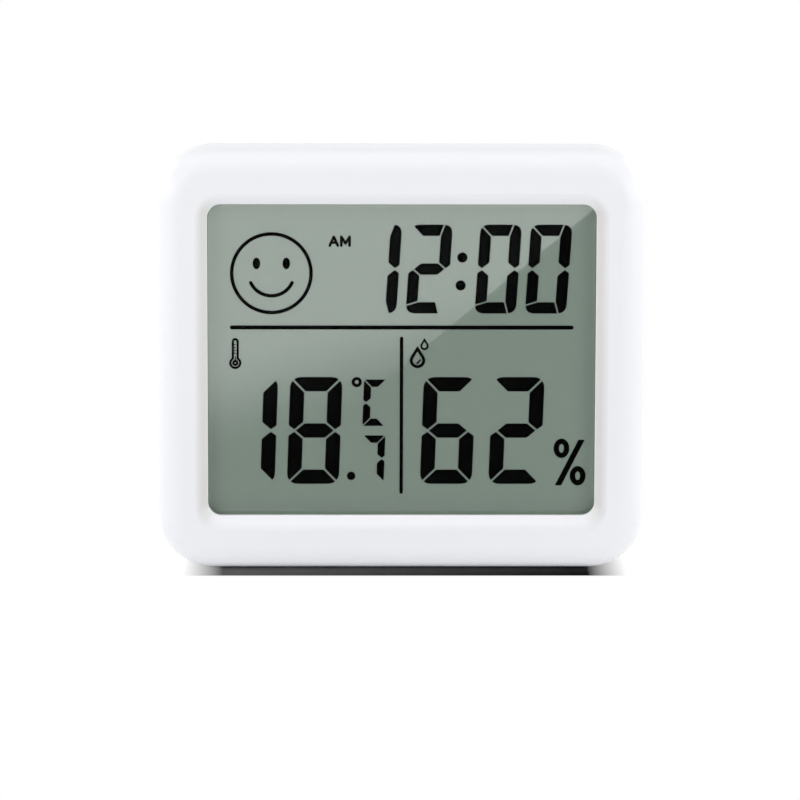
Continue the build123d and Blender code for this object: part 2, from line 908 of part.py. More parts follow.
def circuit_board():
    """Board with two ears, screw holes and an open round place for the cell."""
    high = display_high_z
    outline = RectangleRounded(2 * board_half_width, high - board_low_z, board_corner_radius)
    board = slab(Pos(0, (board_low_z + high) / 2) * outline, board_front_y, board_rear_y)
    ear_end = ear_x + ear_half_height
    ear_low = ear_z - ear_half_height
    ear_high = ear_z + ear_half_height
    board += bar(-ear_end, ear_end, ear_low, ear_high, board_front_y, board_rear_y)
    hole_front = board_front_y - overrun
    hole_rear = board_rear_y + overrun
    board -= post(door_x, door_z, coin_radius + coin_cutout_gap, hole_front, hole_rear)
    for x, z in board_screw_places:
        board -= post(x, z, board_screw_radius + screw_clearance, hole_front, hole_rear)
    return board


def screw(x, z, shank_radius, length, head_radius, head_height, seat_y):
    """Pan head screw along the depth with a cross slot in its head."""
    body = post(x, z, shank_radius, seat_y - length, seat_y)
    head = post(x, z, head_radius, seat_y, seat_y + head_height)
    head = fillet(rear_face(head).edges(), head_height / 2)
    slot_front = seat_y + head_height - cross_slot_depth
    slot_rear = seat_y + head_height + overrun
    reach = head_radius * cross_slot_share
    half = cross_slot_width / 2
    head -= bar(x - reach, x + reach, z - half, z + half, slot_front, slot_rear)
    head -= bar(x - half, x + half, z - reach, z + reach, slot_front, slot_rear)
    return body + head


def case_screws():
    return Part() + [
        screw(
            x, z, case_screw_radius, case_screw_length,
            case_head_radius, case_head_height, counterbore_y,
        )
        for x, z in case_screw_places
    ]


def board_screws():
    return Part() + [
        screw(
            x, z, board_screw_radius, board_screw_length,
            board_head_radius, board_head_height, board_rear_y,
        )
        for x, z in board_screw_places
    ]


def lug_starts():
    """Angle at which each lug of the battery cover starts, cover closed."""
    step = 360 / lug_count
    return [first_lug_angle - lug_angle / 2 + step * index for index in range(lug_count)]


def cut_battery_opening(case):
    """Ring, groove and entry notches of the twist cover, and the cell's wall."""
    ring_front = groove_front_y - groove_shelf
    wall_front = board_rear_y + compartment_board_gap
    through_rear = rear_y + overrun
    case += post(door_x, door_z, ring_radius, ring_front, rear_inner_y)
    case += post(door_x, door_z, compartment_radius + compartment_wall, wall_front, ring_front)
    case -= post(door_x, door_z, compartment_radius, wall_front - overrun, through_rear)
    case -= post(door_x, door_z, door_hole_radius, groove_front_y, through_rear)
    for start in lug_starts():
        low = start - door_turn_angle - lug_side_angle
        high = start + lug_angle + lug_side_angle
        entry = low + lug_angle + 2 * lug_side_angle
        case -= slab(sector(door_x, door_z, groove_radius, low, high), groove_front_y, groove_rear_y)
        case -= slab(sector(door_x, door_z, groove_radius, low, entry), groove_front_y, through_rear)
    half = positive_contact_width / 2 + positive_slot_gap
    slot_low = door_z - compartment_radius - compartment_wall - overrun
    slot_high = door_z - compartment_radius / 2
    case -= bar(door_x - half, door_x + half, slot_low, slot_high, wall_front - overrun, ring_front)
    return case


def cut_door_marks(case):
    """Engraved closed dot and open ring beside the cover."""
    reach = groove_radius + mark_gap

    def place(angle):
        return (door_x + reach * cos(radians(angle)), door_z + reach * sin(radians(angle)))

    closed = Pos(*place(first_lug_angle)) * Circle(mark_radius)
    opened = ring(place(first_lug_angle - door_turn_angle), mark_radius, mark_radius, mark_stroke)
    for mark in (closed, opened):
        case -= slab(mark, rear_y - mark_depth, rear_y + overrun)
    return case


def add_stand_recess(case):
    """Shallow tub for the folded stand, its pin sockets and a finger notch."""
    outer = recess_half_width + tub_wall
    tub_low = recess_low_z - tub_wall
    tub_high = recess_top_z + tub_wall
    notch_z = recess_low_z + notch_radius - notch_drop
    case += bar(-outer, outer, tub_low, tub_high, tub_front_y, rear_inner_y)
    case += post(0, notch_z, notch_radius + tub_wall, tub_front_y, rear_inner_y)
    socket = stand_half_width + stand_pin_length + stand_pin_gap
    socket_outer = socket + tub_wall
    low = stand_axis_z - stand_pin_radius - tub_wall
    high = stand_axis_z + stand_pin_radius + tub_wall
    case += bar(-socket_outer, socket_outer, low, high, tub_front_y, rear_inner_y)
    through_rear = rear_y + overrun
    half = recess_half_width
    case -= bar(-half, half, recess_low_z, recess_top_z, recess_floor_y, through_rear)
    case -= post(0, notch_z, notch_radius, recess_floor_y, through_rear)
    case -= cross_rod(stand_pin_radius + stand_pin_gap, socket, stand_axis_y, stand_axis_z)
    return case


def keyhole_outline(radius, low_radius):
    """Round entry with a slot that rises from it."""
    top_z = keyhole_z + keyhole_rise
    slot = polygon([(-radius, keyhole_z), (radius, keyhole_z), (radius, top_z), (-radius, top_z)])
    return slot + Pos(0, top_z) * Circle(radius) + Pos(0, keyhole_z) * Circle(low_radius)


def add_keyhole(case):
    """Keyhole for a wall screw, with a closed pocket for the screw's head."""
    pocket = keyhole_pocket_radius
    shell = pocket + keyhole_wall
    pocket_front = keyhole_back_y + keyhole_back
    case += slab(keyhole_outline(shell, shell), keyhole_back_y, rear_inner_y)
    case -= slab(keyhole_outline(pocket, pocket), pocket_front, rear_inner_y)
    opening = keyhole_outline(keyhole_slot_radius, keyhole_entry_radius)
    case -= slab(opening, pocket_front, rear_y + overrun)
    return case


def cut_vents(case):
    """Row of slots over the sensors."""
    for index in range(vent_count):
        z = vent_z + (index - (vent_count - 1) / 2) * vent_pitch
        slot = Pos(key_x, z) * SlotOverall(vent_length, vent_width)
        case -= slab(slot, rear_inner_y - overrun, rear_y + overrun)
    return case


def rear_case():
    """Rear cover with everything that opens or fastens through it."""
    case = case_plate(0, case_corner_radius, seam_y, rear_y)
    case = fillet(rear_face(case).edges(), rear_edge_fillet)
    case = chamfer(front_face(case).edges(), seam_chamfer)
    tongue_outer = side_wall + tongue_gap
    tongue_front = seam_y - tongue_length
    case += case_plate(tongue_outer, case_corner_radius - tongue_outer, tongue_front, rear_inner_y)
    case -= case_plate(tongue_inset, case_corner_radius - tongue_inset, tongue_front - overrun, rear_inner_y)
    for x, z in case_screw_places:
        case += post(x, z, rear_boss_radius, boss_meeting_y + screw_clearance, rear_inner_y)
    for side in (-1, 1):
        x = side * (board_half_width - post_inset)
        case += post(x, display_high_z - post_inset, post_radius, board_rear_y + post_gap, rear_inner_y)
    case = cut_battery_opening(case)
    case = add_stand_recess(case)
    case = add_keyhole(case)
    case = cut_vents(case)
    case = cut_door_marks(case)
    for z in key_heights.values():
        case -= post(key_x, z, key_radius + key_gap, rear_inner_y - overrun, rear_y + overrun)
    for x, z in case_screw_places:
        case -= post(x, z, case_screw_radius + screw_clearance, boss_meeting_y, rear_y + overrun)
        case -= post(x, z, case_head_radius + head_clearance, counterbore_y, rear_y + overrun)
    return case


def battery_door():
    """Round twist cover with three lugs, a coin slot and a position mark."""
    disc = post(door_x, door_z, door_radius, door_front_y, door_face_y)
    disc = fillet(rear_face(disc).edges(), door_edge_fillet)
    for start in lug_starts():
        wedge = sector(door_x, door_z, lug_radius, start, start + lug_angle)
        disc += slab(wedge, door_front_y, door_front_y + lug_thickness)
    slot = Pos(door_x, door_z) * SlotOverall(coin_slot_length, coin_slot_width)
    disc -= slab(slot, door_face_y - coin_slot_depth, door_face_y + overrun)
    mark_z = door_z + door_radius - door_edge_fillet - mark_gap - mark_radius
    disc -= post(door_x, mark_z, mark_radius, door_face_y - mark_depth, door_face_y + overrun)
    return disc


def stand():
    """Fold-out leg with a round-fronted top edge, two pins and grip grooves."""
    half = stand_half_width
    blade = bar(-half, half, stand_tip_z, stand_axis_z, stand_front_y, stand_rear_y)
    low_edges = blade.edges().filter_by(Axis.Y).group_by(Axis.Z)[0]
    blade = fillet(low_edges, stand_tip_radius)
    blade += cross_rod(stand_heel, half, stand_axis_y, stand_axis_z)
    blade += bar(-half, half, stand_axis_z, stand_axis_z + stand_heel, stand_axis_y, stand_rear_y)
    blade += cross_rod(stand_pin_radius, half + stand_pin_length, stand_axis_y, stand_axis_z)
    slot_outer = half - stand_leg_width
    slot_low = stand_axis_z - stand_slot_length
    slot_high = stand_axis_z + stand_heel + overrun
    slot_front = stand_front_y - overrun
    slot_rear = stand_rear_y + overrun
    for side in (-1, 1):
        left, right = sorted((side * slot_outer, side * (slot_outer - stand_slot_width)))
        blade -= bar(left, right, slot_low, slot_high, slot_front, slot_rear)
    for index in range(grip_count):
        low = stand_tip_z + grip_rise + index * grip_pitch
        reach = grip_length / 2
        blade -= bar(-reach, reach, low, low + grip_width, stand_rear_y - grip_depth, slot_rear)
    return blade


def key_mark(name, z):
    """Sketch of the mark on a key: a plus, a minus or a ring."""
    reach = key_mark_length / 2
    if name == "mode":
        return ring((key_x, z), reach, reach, key_mark_width)
    mark = stroke_bar((key_x - reach, z), (key_x + reach, z), key_mark_width)
    if name == "up":
        mark += stroke_bar((key_x, z - reach), (key_x, z + reach), key_mark_width)
    return mark


def key_button(name):
    """Key cap with a retaining flange, a stem and an engraved mark."""
    z = key_heights[name]
    face_y = rear_y - key_recess
    cap = post(key_x, z, key_radius, key_flange_rear_y, face_y)
    cap = fillet(rear_face(cap).edges(), key_edge_fillet)
    cap += post(key_x, z, key_flange_radius, key_flange_front_y, key_flange_rear_y)
    cap += post(key_x, z, key_stem_radius, key_stem_front_y, key_flange_front_y)
    return cap - slab(key_mark(name, z), face_y - key_mark_depth, face_y + overrun)


def key_plunger(name):
    """Plunger of the switch, pushed by the key's stem."""
    return post(key_x, key_heights[name], plunger_radius, plunger_front_y, key_stem_front_y)


def tact_switches():
    """Three switch bases with solder tabs, each bored for its plunger."""
    half = switch_size / 2
    reach = half + switch_tab_length
    tab_rear = board_rear_y + switch_tab_thickness
    bases = []
    for z in key_heights.values():
        base = bar(key_x - half, key_x + half, z - half, z + half, board_rear_y, switch_rear_y)
        for side in (-1, 1):
            tab_z = z + side * (half - switch_tab_width)
            low = tab_z - switch_tab_width / 2
            high = tab_z + switch_tab_width / 2
            base += bar(key_x - reach, key_x + reach, low, high, board_rear_y, tab_rear)
        bore_front = board_rear_y + switch_base
        base -= post(key_x, z, plunger_radius + plunger_gap, bore_front, switch_rear_y + overrun)
        bases.append(base)
    return Part() + bases


def coin_cell_can():
    """Steel can of the button cell, open at the front inside its turned-in lip."""
    can_front = coin_front_y + coin_cap_step
    can = post(door_x, door_z, coin_radius, can_front, coin_rear_y)
    can = fillet(rear_face(can).edges(), coin_edge_fillet)
    inside_front = can_front + coin_wall
    can -= post(door_x, door_z, coin_radius - coin_wall, inside_front, coin_rear_y - coin_wall)
    return can - post(door_x, door_z, coin_radius - coin_lip, can_front - overrun, inside_front)


def coin_cell_cap():
    """Negative cap: a shallow steel dish."""
    skirt_rear = (coin_front_y + coin_rear_y) / 2
    cap = post(door_x, door_z, coin_cap_radius, coin_front_y, skirt_rear)
    inside_radius = coin_cap_radius - coin_wall
    return cap - post(door_x, door_z, inside_radius, coin_front_y + coin_wall, skirt_rear + overrun)


def coin_cell_gasket():
    """Sealing ring between the cap and the can."""
    front = coin_front_y + coin_cap_step + coin_wall
    outer = post(door_x, door_z, coin_radius - coin_wall, front, coin_rear_y - coin_wall)
    bore = coin_cap_radius + coin_seal_gap
    return outer - post(door_x, door_z, bore, front - overrun, coin_rear_y)


def coin_cell_core():
    """Filling of the button cell."""
    radius = coin_cap_radius - coin_wall - coin_seal_gap
    return post(door_x, door_z, radius, coin_front_y + coin_wall, coin_rear_y - coin_wall)


def negative_contact():
    """Spring strip under the cell, soldered to the board above and below it."""
    half = negative_contact_width / 2
    reach = coin_radius + coin_cutout_gap + contact_pad
    front = board_front_y - contact_thickness
    strip = bar(door_x - half, door_x + half, door_z - reach, door_z + reach, front, board_front_y)
    neck = half / 2
    low = door_z - coin_radius / 2
    high = door_z + coin_radius / 2
    rear = board_front_y + overrun
    for side in (-1, 1):
        left, right = sorted((door_x + side * neck, door_x + side * (half + overrun)))
        strip -= bar(left, right, low, high, front - overrun, rear)
    return strip


def positive_contact():
    """Angled spring on the board that touches the side of the can."""
    half = positive_contact_width / 2
    high = door_z - coin_radius - positive_contact_gap
    blade_low = high - contact_thickness
    top_y = groove_front_y - groove_shelf - positive_contact_shelf_gap
    foot_y = board_rear_y + contact_thickness
    foot_low = door_z - coin_radius - coin_cutout_gap - positive_contact_foot
    foot = bar(door_x - half, door_x + half, foot_low, high, board_rear_y, foot_y)
    return foot + bar(door_x - half, door_x + half, blade_low, high, board_rear_y, top_y)


def controller_cap():
    """Dome of resin over the controller chip."""
    height = tub_front_y - controller_clearance - board_rear_y
    z = board_low_z + controller_low_gap
    dome = post(0, z, controller_radius, board_rear_y, board_rear_y + height)
    return fillet(rear_face(dome).edges(), height * controller_round_share)


def clock_crystal():
    """Tubular crystal lying on the board beside the stand's tub, with its two leads."""
    chips_half_height = (chip_rows - 1) / 2 * chip_pitch + chip_width / 2
    chips_low = board_low_z + controller_low_gap - chips_half_height
    z = chips_low - crystal_chip_gap - crystal_length / 2
    y = board_rear_y + crystal_radius
    x = -recess_half_width - crystal_side_offset
    can = Pos(x, y, z) * Cylinder(crystal_radius, crystal_length)
    lead_z = z - crystal_length / 2 - crystal_lead_length / 2
    for side in (-1, 1):
        lead_x = x + side * crystal_radius / 2
        can += Pos(lead_x, y, lead_z) * Cylinder(lead_radius, crystal_lead_length)
        low = lead_z - crystal_lead_length / 2
        can += bar(lead_x - lead_radius, lead_x + lead_radius, low, low + 2 * lead_radius, board_rear_y, y)
    return can


def chip_column(side, height_share):
    """Column of small chip parts on one side of the controller."""
    cell_wall_x = door_x - compartment_radius - compartment_wall
    x = side * (controller_radius + cell_wall_x) / 2
    height = (tub_front_y - board_rear_y) * height_share
    middle_z = board_low_z + controller_low_gap
    chips = []
    half_length = chip_length / 2
    half_width = chip_width / 2
    top = board_rear_y + height
    for index in range(chip_rows):
        z = middle_z + (index - (chip_rows - 1) / 2) * chip_pitch
        low = z - half_width
        high = z + half_width
        chips.append(bar(x - half_length, x + half_length, low, high, board_rear_y, top))
    return Part() + chips


def chip_capacitors():
    return chip_column(-1, capacitor_height_share)


def chip_resistors():
    return chip_column(1, resistor_height_share)


def humidity_sensor_cage():
    """Vented box over the humidity element, open towards the board."""
    half_width = cage_width / 2
    half_height = cage_height / 2
    rear = rear_inner_y - cage_rear_gap
    low = vent_z - half_height
    cage = bar(key_x - half_width, key_x + half_width, low, vent_z + half_height, board_rear_y, rear)
    cage -= bar(
        key_x - half_width + cage_wall, key_x + half_width - cage_wall,
        low + cage_wall, vent_z + half_height - cage_wall, board_rear_y - overrun, rear - cage_wall,
    )
    slots = cage_bar_count + 1
    opening = (cage_width - 2 * cage_wall - cage_bar_count * cage_wall) / slots
    slot_low = low + 2 * cage_wall
    slot_high = vent_z + half_height - 2 * cage_wall
    slot_front = rear - cage_wall - overrun
    for index in range(slots):
        left = key_x - half_width + cage_wall + index * (opening + cage_wall)
        cage -= bar(left, left + opening, slot_low, slot_high, slot_front, rear + overrun)
    return cage


def humidity_element():
    """Thin humidity-sensing plate on the board."""
    half_width = element_width / 2
    half_height = element_height / 2
    return bar(
        key_x - half_width, key_x + half_width, vent_z - half_height, vent_z + half_height,
        board_rear_y, board_rear_y + element_thickness,
    )


def thermistor():
    """Bead on two short leads beside the cage."""
    x = key_x - thermistor_offset
    bead_y = board_rear_y + thermistor_lift + thermistor_radius
    bead = Pos(x, bead_y, vent_z) * Sphere(thermistor_radius)
    for side in (-1, 1):
        bead += post(x, vent_z + side * thermistor_radius / 2, lead_radius, board_rear_y, bead_y)
    return bead


pieces = {
    "front_bezel": front_bezel,
    "display_window": display_window,
    "window_gasket": window_gasket,
    "lcd_front_polariser": lcd_front_polariser,
    "lcd_front_glass": lcd_front_glass,
    "time_segments": time_segments,
    "temperature_segments": temperature_segments,
    "humidity_segments": humidity_segments,
    "icon_segments": icon_segments,
    "lcd_seal": lcd_seal,
    "lcd_rear_glass": lcd_rear_glass,
    "lcd_reflector": lcd_reflector,
    "lcd_support_foam": lcd_support_foam,
    "zebra_strip": zebra_strip,
    "circuit_board": circuit_board,
    "controller_cap": controller_cap,
    "clock_crystal": clock_crystal,
    "chip_capacitors": chip_capacitors,
    "chip_resistors": chip_resistors,
    "humidity_sensor_cage": humidity_sensor_cage,
    "humidity_element": humidity_element,
    "thermistor": thermistor,
    "tact_switches": tact_switches,
    "positive_contact": positive_contact,
    "negative_contact": negative_contact,
    "coin_cell_can": coin_cell_can,
    "coin_cell_gasket": coin_cell_gasket,
    "coin_cell_cap": coin_cell_cap,
    "coin_cell_core": coin_cell_core,
    "rear_case": rear_case,
    "battery_door": battery_door,
    "stand": stand,
    "case_screws": case_screws,
    "board_screws": board_screws,
}

for node, build_piece in pieces.items():
    export_step(build_piece(), f"parts/{node}.step")
for key_name in key_heights:
    export_step(key_button(key_name), f"parts/{key_name}_button.step")
    export_step(key_plunger(key_name), f"parts/{key_name}_plunger.step")
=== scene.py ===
"""Temperature humidity sensor: finishes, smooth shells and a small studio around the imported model.

Everything is in metres in the part's own frame: X to the right as seen from the
display, Y from the display to the rear cover, Z up, with the origin on the surface
that the unit stands on.
"""

import json
import math

import bmesh
import bpy
import numpy as np
from bpy.props import FloatProperty, FloatVectorProperty, PointerProperty
from mathutils import Euler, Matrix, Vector


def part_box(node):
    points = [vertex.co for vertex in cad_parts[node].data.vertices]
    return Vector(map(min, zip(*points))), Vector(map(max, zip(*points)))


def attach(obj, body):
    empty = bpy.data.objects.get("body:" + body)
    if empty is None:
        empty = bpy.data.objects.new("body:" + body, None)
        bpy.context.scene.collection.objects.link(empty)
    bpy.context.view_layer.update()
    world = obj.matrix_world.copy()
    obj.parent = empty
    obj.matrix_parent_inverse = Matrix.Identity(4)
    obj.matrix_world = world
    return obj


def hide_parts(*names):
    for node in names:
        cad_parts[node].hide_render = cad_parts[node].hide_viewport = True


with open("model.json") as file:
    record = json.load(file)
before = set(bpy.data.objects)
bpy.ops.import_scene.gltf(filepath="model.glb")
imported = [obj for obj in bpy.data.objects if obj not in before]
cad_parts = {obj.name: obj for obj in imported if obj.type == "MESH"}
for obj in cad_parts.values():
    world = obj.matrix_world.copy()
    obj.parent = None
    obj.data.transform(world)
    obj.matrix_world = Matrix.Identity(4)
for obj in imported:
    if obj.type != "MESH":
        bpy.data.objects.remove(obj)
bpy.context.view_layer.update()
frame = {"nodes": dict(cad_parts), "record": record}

bl_info = {
    "name": "Temperature humidity sensor",
    "version": (1, 0, 0),
    "blender": (4, 5, 0),
    "location": "3D View > Sidebar > Sensor",
    "description": "Dresses the packed sensor and sets up its studio",
    "category": "Object",
}

CASE_LOW, CASE_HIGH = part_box("front_bezel")
CASE_MIDDLE_Z = (CASE_LOW.z + CASE_HIGH.z) / 2

# Steps along each corner and each side of an outline, and along each arc of the front
# shell's section.
SHELL_STEPS = (16, 8)
GLASS_STEPS = (6, 1)
EDGE_STEPS = 24
CAVITY_STEPS = 10
LIP_STEPS = 6
SOFT_STEPS = 14

# Shading of the front shell: the angle in degrees past which an edge is sharp, and how
# strongly a large face holds its direction.
SHARP_ANGLE = 30
FLAT_WEIGHT = 100

# Display glass: radius of its corners and width of its chamfers.
GLASS_RADIUS = 0.0004
GLASS_CHAMFER = 0.00005

# Shade of the window's walls on the foil: height of the walls, share of the light that is
# left at a wall's foot, and the most that the foil's tone is lifted to make up for it.
RECESS_HEIGHT = 0.00112
RECESS_FOOT = 0.58
RECESS_LIFT = 1.6

# Textures: scale of each noise, as its own units to a metre.
FINE_GRAIN = 5200.0
FOAM_GRAIN = 2600.0
MOTTLE_SCALE = 45.0
STREAK_SCALE = 900.0
HAZE_SCALE = 60.0

# Textures: how far a noise moves a tone, a roughness or a share of the opacity, from end
# to end.
MOTTLE_TONE = 0.02
GRAIN_ROUGHNESS = 0.12
STREAK_TONE = 0.16
STREAK_ROUGHNESS = 0.14
HAZE_OPACITY = 0.4

# Textures: depth of the relief, and how much of it shows.
MOULD_DEPTH = 0.00005
MOULD_BUMP = 0.02
SHEET_DEPTH = 0.00002
SHEET_BUMP = 0.05

# Gloss of the window pane and of the display, seen as a mirror that gets stronger at a slant.
PANE_IOR = 1.09
FOIL_IOR = 2.33
MIRROR_ROUGHNESS = 0.03

# Panel lamps, which all face the middle of the case, as place and as width and height. The
# side and the rear lamps stand on both sides, at plus and minus their X.
TOP_LAMP_PLACE = (0, -0.20, 0.75)
TOP_LAMP_SIZE = (1.3, 0.9)
SIDE_LAMP_PLACE = (0.56, -0.22, 0.16)
SIDE_LAMP_SIZE = (0.7, 0.3)
REAR_LAMP_PLACE = (0.50, 0.36, 0.22)
REAR_LAMP_SIZE = (0.5, 0.3)

# Floor's half width, half width of the blur along the grey card's edge, and the camera's
# near limit and sensor width, the last in millimetres.
FLOOR_REACH = 3.0
FLAG_BLUR = 0.0001
NEAR_LIMIT = 0.01
CAMERA_SENSOR = 36

# Lay-out of a node tree in its editor.
NODE_COLUMNS = 6
NODE_STEP_X = 220
NODE_STEP_Y = 300
NODE_LEFT = -1300


def length(name, description, default):
    """A size in metres that a user can change."""
    return FloatProperty(
        name=name, description=description, default=default, unit="LENGTH", precision=5
    )


def share(name, description, default):
    """A share from nought to one that a user can change."""
    return FloatProperty(
        name=name, description=description, default=default, min=0, max=1, subtype="FACTOR"
    )


def angle(name, description, default):
    """An angle in radians that a user can change."""
    return FloatProperty(name=name, description=description, default=default, subtype="ANGLE")


def strength(name, description, default):
    """A strength of light that a user can change."""
    return FloatProperty(name=name, description=description, default=default, min=0)


def colour(name, description, default):
    """A linear colour that a user can change."""
    return FloatVectorProperty(
        name=name, description=description, default=default, size=3, min=0, max=1, subtype="COLOR"
    )


class BezelSizes(bpy.types.PropertyGroup):
    """Sizes of the front shell."""

    corner_radius: length("Corner radius", "Radius of the case's outline at its corners", 0.009)
    edge_radius: length("Edge radius", "Rounding between the front face and the sides", 0.0042)
    side_wall: length("Side wall", "Thickness of the side wall", 0.0015)
    front_wall: length("Front wall", "Thickness of the front wall", 0.0018)
    seam_chamfer: length("Seam chamfer", "Bevel along the seam with the rear cover", 0.0002)
    window_width: length("Window width", "Width of the opening over the display", 0.06375)
    window_height: length("Window height", "Height of the opening over the display", 0.0517)
    window_radius: length("Window radius", "Radius of the opening's corners", 0.0022)
    bevel_side: length("Side bevel", "Width of the slopes left and right of the window", 0.0015)
    bevel_top: length("Top bevel", "Width of the slope above the window", 0.00145)
    bevel_bottom: length("Bottom bevel", "Width of the slope below the window", 0.0021)
    bevel_depth: length("Bevel depth", "Depth of the slope around the window", 0.0012)
    bevel_softness: length("Bevel softness", "Rounding between the front face and the slope", 0.0019)
    lip_radius: length("Lip radius", "Rounding at the foot of the slope", 0.00035)


class FinishColours(bpy.types.PropertyGroup):
    """Colours of the finishes."""

    case: colour("Case", "Moulded white plastic of the case", (0.857, 0.865, 0.895))
    # Painted shade: the slopes left and right of the window get a darker white than the case, standing in
    # for shade.
    slope: colour("Slope", "White of the slopes at the window's sides", (0.69, 0.685, 0.675))
    reflector: colour("Reflector", "Grey-green foil behind the display", (0.322, 0.415, 0.345))
    segment: colour("Segment", "Dark segments of the display", (0.0, 0.0, 0.0))
    board: colour("Board", "Solder mask of the circuit board", (0.02, 0.16, 0.07))
    foam: colour("Foam", "Dark foam of the supports", (0.03, 0.03, 0.032))
    metal: colour("Metal", "Plated sheet metal of the contacts", (0.72, 0.72, 0.70))
    steel: colour("Steel", "Steel of the cell and the screws", (0.62, 0.62, 0.61))


class StudioSettings(bpy.types.PropertyGroup):
    """Camera, lamps, floor and grey card."""

    distance: length("Distance", "From the camera to the point it looks at", 0.8)
    azimuth: angle("Azimuth", "Turn of the camera about Z", -0.01297)
    elevation: angle("Elevation", "Height angle of the camera", 0.16877)
    roll: angle("Roll", "Turn of the camera about its own axis", 0.0026)
    lens: FloatProperty(
        name="Lens", description="Focal length on a 36 mm sensor", default=217.77, unit="CAMERA"
    )
    aim_x: length("Aim X", "Place that the camera looks at, along X", -0.000207)
    aim_z: length("Aim Z", "Place that the camera looks at, along Z", 0.0278)
    world_light: strength("World", "Strength of the even light from all round", 0.42)
    top_lamp: strength("Top lamp", "Brightness of the overhead panel", 0.96)
    side_lamp: strength("Side lamps", "Brightness of the two side panels", 1.86)
    rear_lamp: strength("Rear lamps", "Brightness of the two panels behind", 1.4)
    floor: colour("Floor", "Colour of the floor", (0.97, 0.97, 0.97))
    # Painted contact shadow on the floor: its tones at both ends and the fades that place it.
    shadow_left: colour("Shadow left", "Tone of the contact shadow at its left end", (0.115, 0.115, 0.115))
    shadow_right: colour("Shadow right", "Tone of the contact shadow at its right end", (0.01, 0.01, 0.01))
    shadow_centre: length("Shadow centre", "Middle of the contact shadow along X", 0.0006)
    shadow_inner_x: length("Shadow inner X", "Half width of the full contact shadow", 0.0301)
    shadow_outer_x: length("Shadow outer X", "Half width at which it has faded out", 0.0365)
    shadow_inner_y: length("Shadow inner Y", "Half depth of the full contact shadow", 0.0086)
    shadow_outer_y: length("Shadow outer Y", "Half depth at which it has faded out", 0.0091)
    shadow_rear_y: length("Shadow rear Y", "Distance behind the middle where it starts to fade", 0.0035)
    shadow_near_y: length("Shadow near Y", "Half depth at which its right end starts to darken", 0.0040)
    flag_y: length("Card Y", "Place of the grey card in front of the display", -0.05)
    flag_tone: share("Card tone", "Brightness of the grey card", 0.19)
    flag_slope: angle("Card slope", "Slope of the line above which the card is white", 0.6914)
    flag_height: length("Card height", "Height of that line where X is nought", 0.02533)
    fade_slope: angle("Fade slope", "Slope of the lines between which the white fades in", 0.277)
    fade_low: length("Fade low", "Height of the lower of them where X is nought", 0.0189)
    fade_high: length("Fade high", "Height of the upper of them where X is nought", 0.0377)


class SensorSettings(bpy.types.PropertyGroup):
    """All settings of the scene."""

    bezel: PointerProperty(type=BezelSizes)
    colours: PointerProperty(type=FinishColours)
    studio: PointerProperty(type=StudioSettings)


def settings():
    """The scene's settings."""
    return bpy.context.scene.sensor


class Nodes:
    """Short way to add, place and join shader nodes in one tree."""

    def __init__(self, tree):
        self.tree = tree
        self.count = 0

    def add(self, kind, inputs=None, **values):
        """Add a node, set its properties, and set or join its inputs by name or number."""
        node = self.tree.nodes.new(kind)
        row, column = divmod(self.count, NODE_COLUMNS)
        node.location = (NODE_STEP_X * column + NODE_LEFT, -NODE_STEP_Y * row)
        self.count += 1
        for key, value in values.items():
            setattr(node, key, value)
        for key, value in (inputs or {}).items():
            self.feed(node.inputs[key], value)
        return node

    def feed(self, socket, value):
        """Join an output to a socket, or set the socket's own value."""
        if isinstance(value, bpy.types.NodeSocket):
            self.tree.links.new(value, socket)
        elif socket.type == "RGBA" and len(value) == 3:
            socket.default_value = (*value, 1)
        else:
            socket.default_value = value

    def math(self, operation, first, second=0.0):
        """Arithmetic on two numbers."""
        return self.add("ShaderNodeMath", {0: first, 1: second}, operation=operation).outputs[0]

    def mix(self, amount, first, second):
        """Blend of two colours: the first one where the amount is nought."""
        node = self.add("ShaderNodeMix", {0: amount, 6: first, 7: second}, data_type="RGBA")
        return node.outputs[2]

    def scaled(self, tint, amount):
        """A colour times a number."""
        node = self.add("ShaderNodeVectorMath", {0: tint, "Scale": amount}, operation="SCALE")
        return node.outputs[0]

    def ramp(self, value, low, high, start=0.0, end=1.0, **kind):
        """The start value up to the low bound, the end value past the high one, a fade between."""
        bounds = {"Value": value, "From Min": low, "From Max": high, "To Min": start, "To Max": end}
        return self.add("ShaderNodeMapRange", bounds, clamp=True, **kind).outputs[0]

    def place(self):
        """Place of a point in the object's own frame."""
        return self.add("ShaderNodeTexCoord").outputs["Object"]

    def axes(self):
        """The X, Y and Z of that place."""
        return self.add("ShaderNodeSeparateXYZ", {0: self.place()}).outputs

    def noise(self, place, scale, detail):
        """Soft noise between nought and one."""
        values = {"Vector": place, "Scale": scale, "Detail": detail}
        return self.add("ShaderNodeTexNoise", values).outputs[0]


def new_group(name, inputs):
    """Texture group with named inputs that puts out a colour, a roughness and a height.

    It returns the helper that adds its nodes, and the outputs of its start node.
    """
    tree = bpy.data.node_groups.new(name, "ShaderNodeTree")
    for socket_name, kind, default in inputs:
        socket = tree.interface.new_socket(socket_name, in_out="INPUT", socket_type=kind)
        socket.default_value = default
    tree.interface.new_socket("Colour", in_out="OUTPUT", socket_type="NodeSocketColor")
    tree.interface.new_socket("Roughness", in_out="OUTPUT", socket_type="NodeSocketFloat")
    tree.interface.new_socket("Height", in_out="OUTPUT", socket_type="NodeSocketFloat")
    nodes = Nodes(tree)
    return nodes, nodes.add("NodeGroupInput").outputs


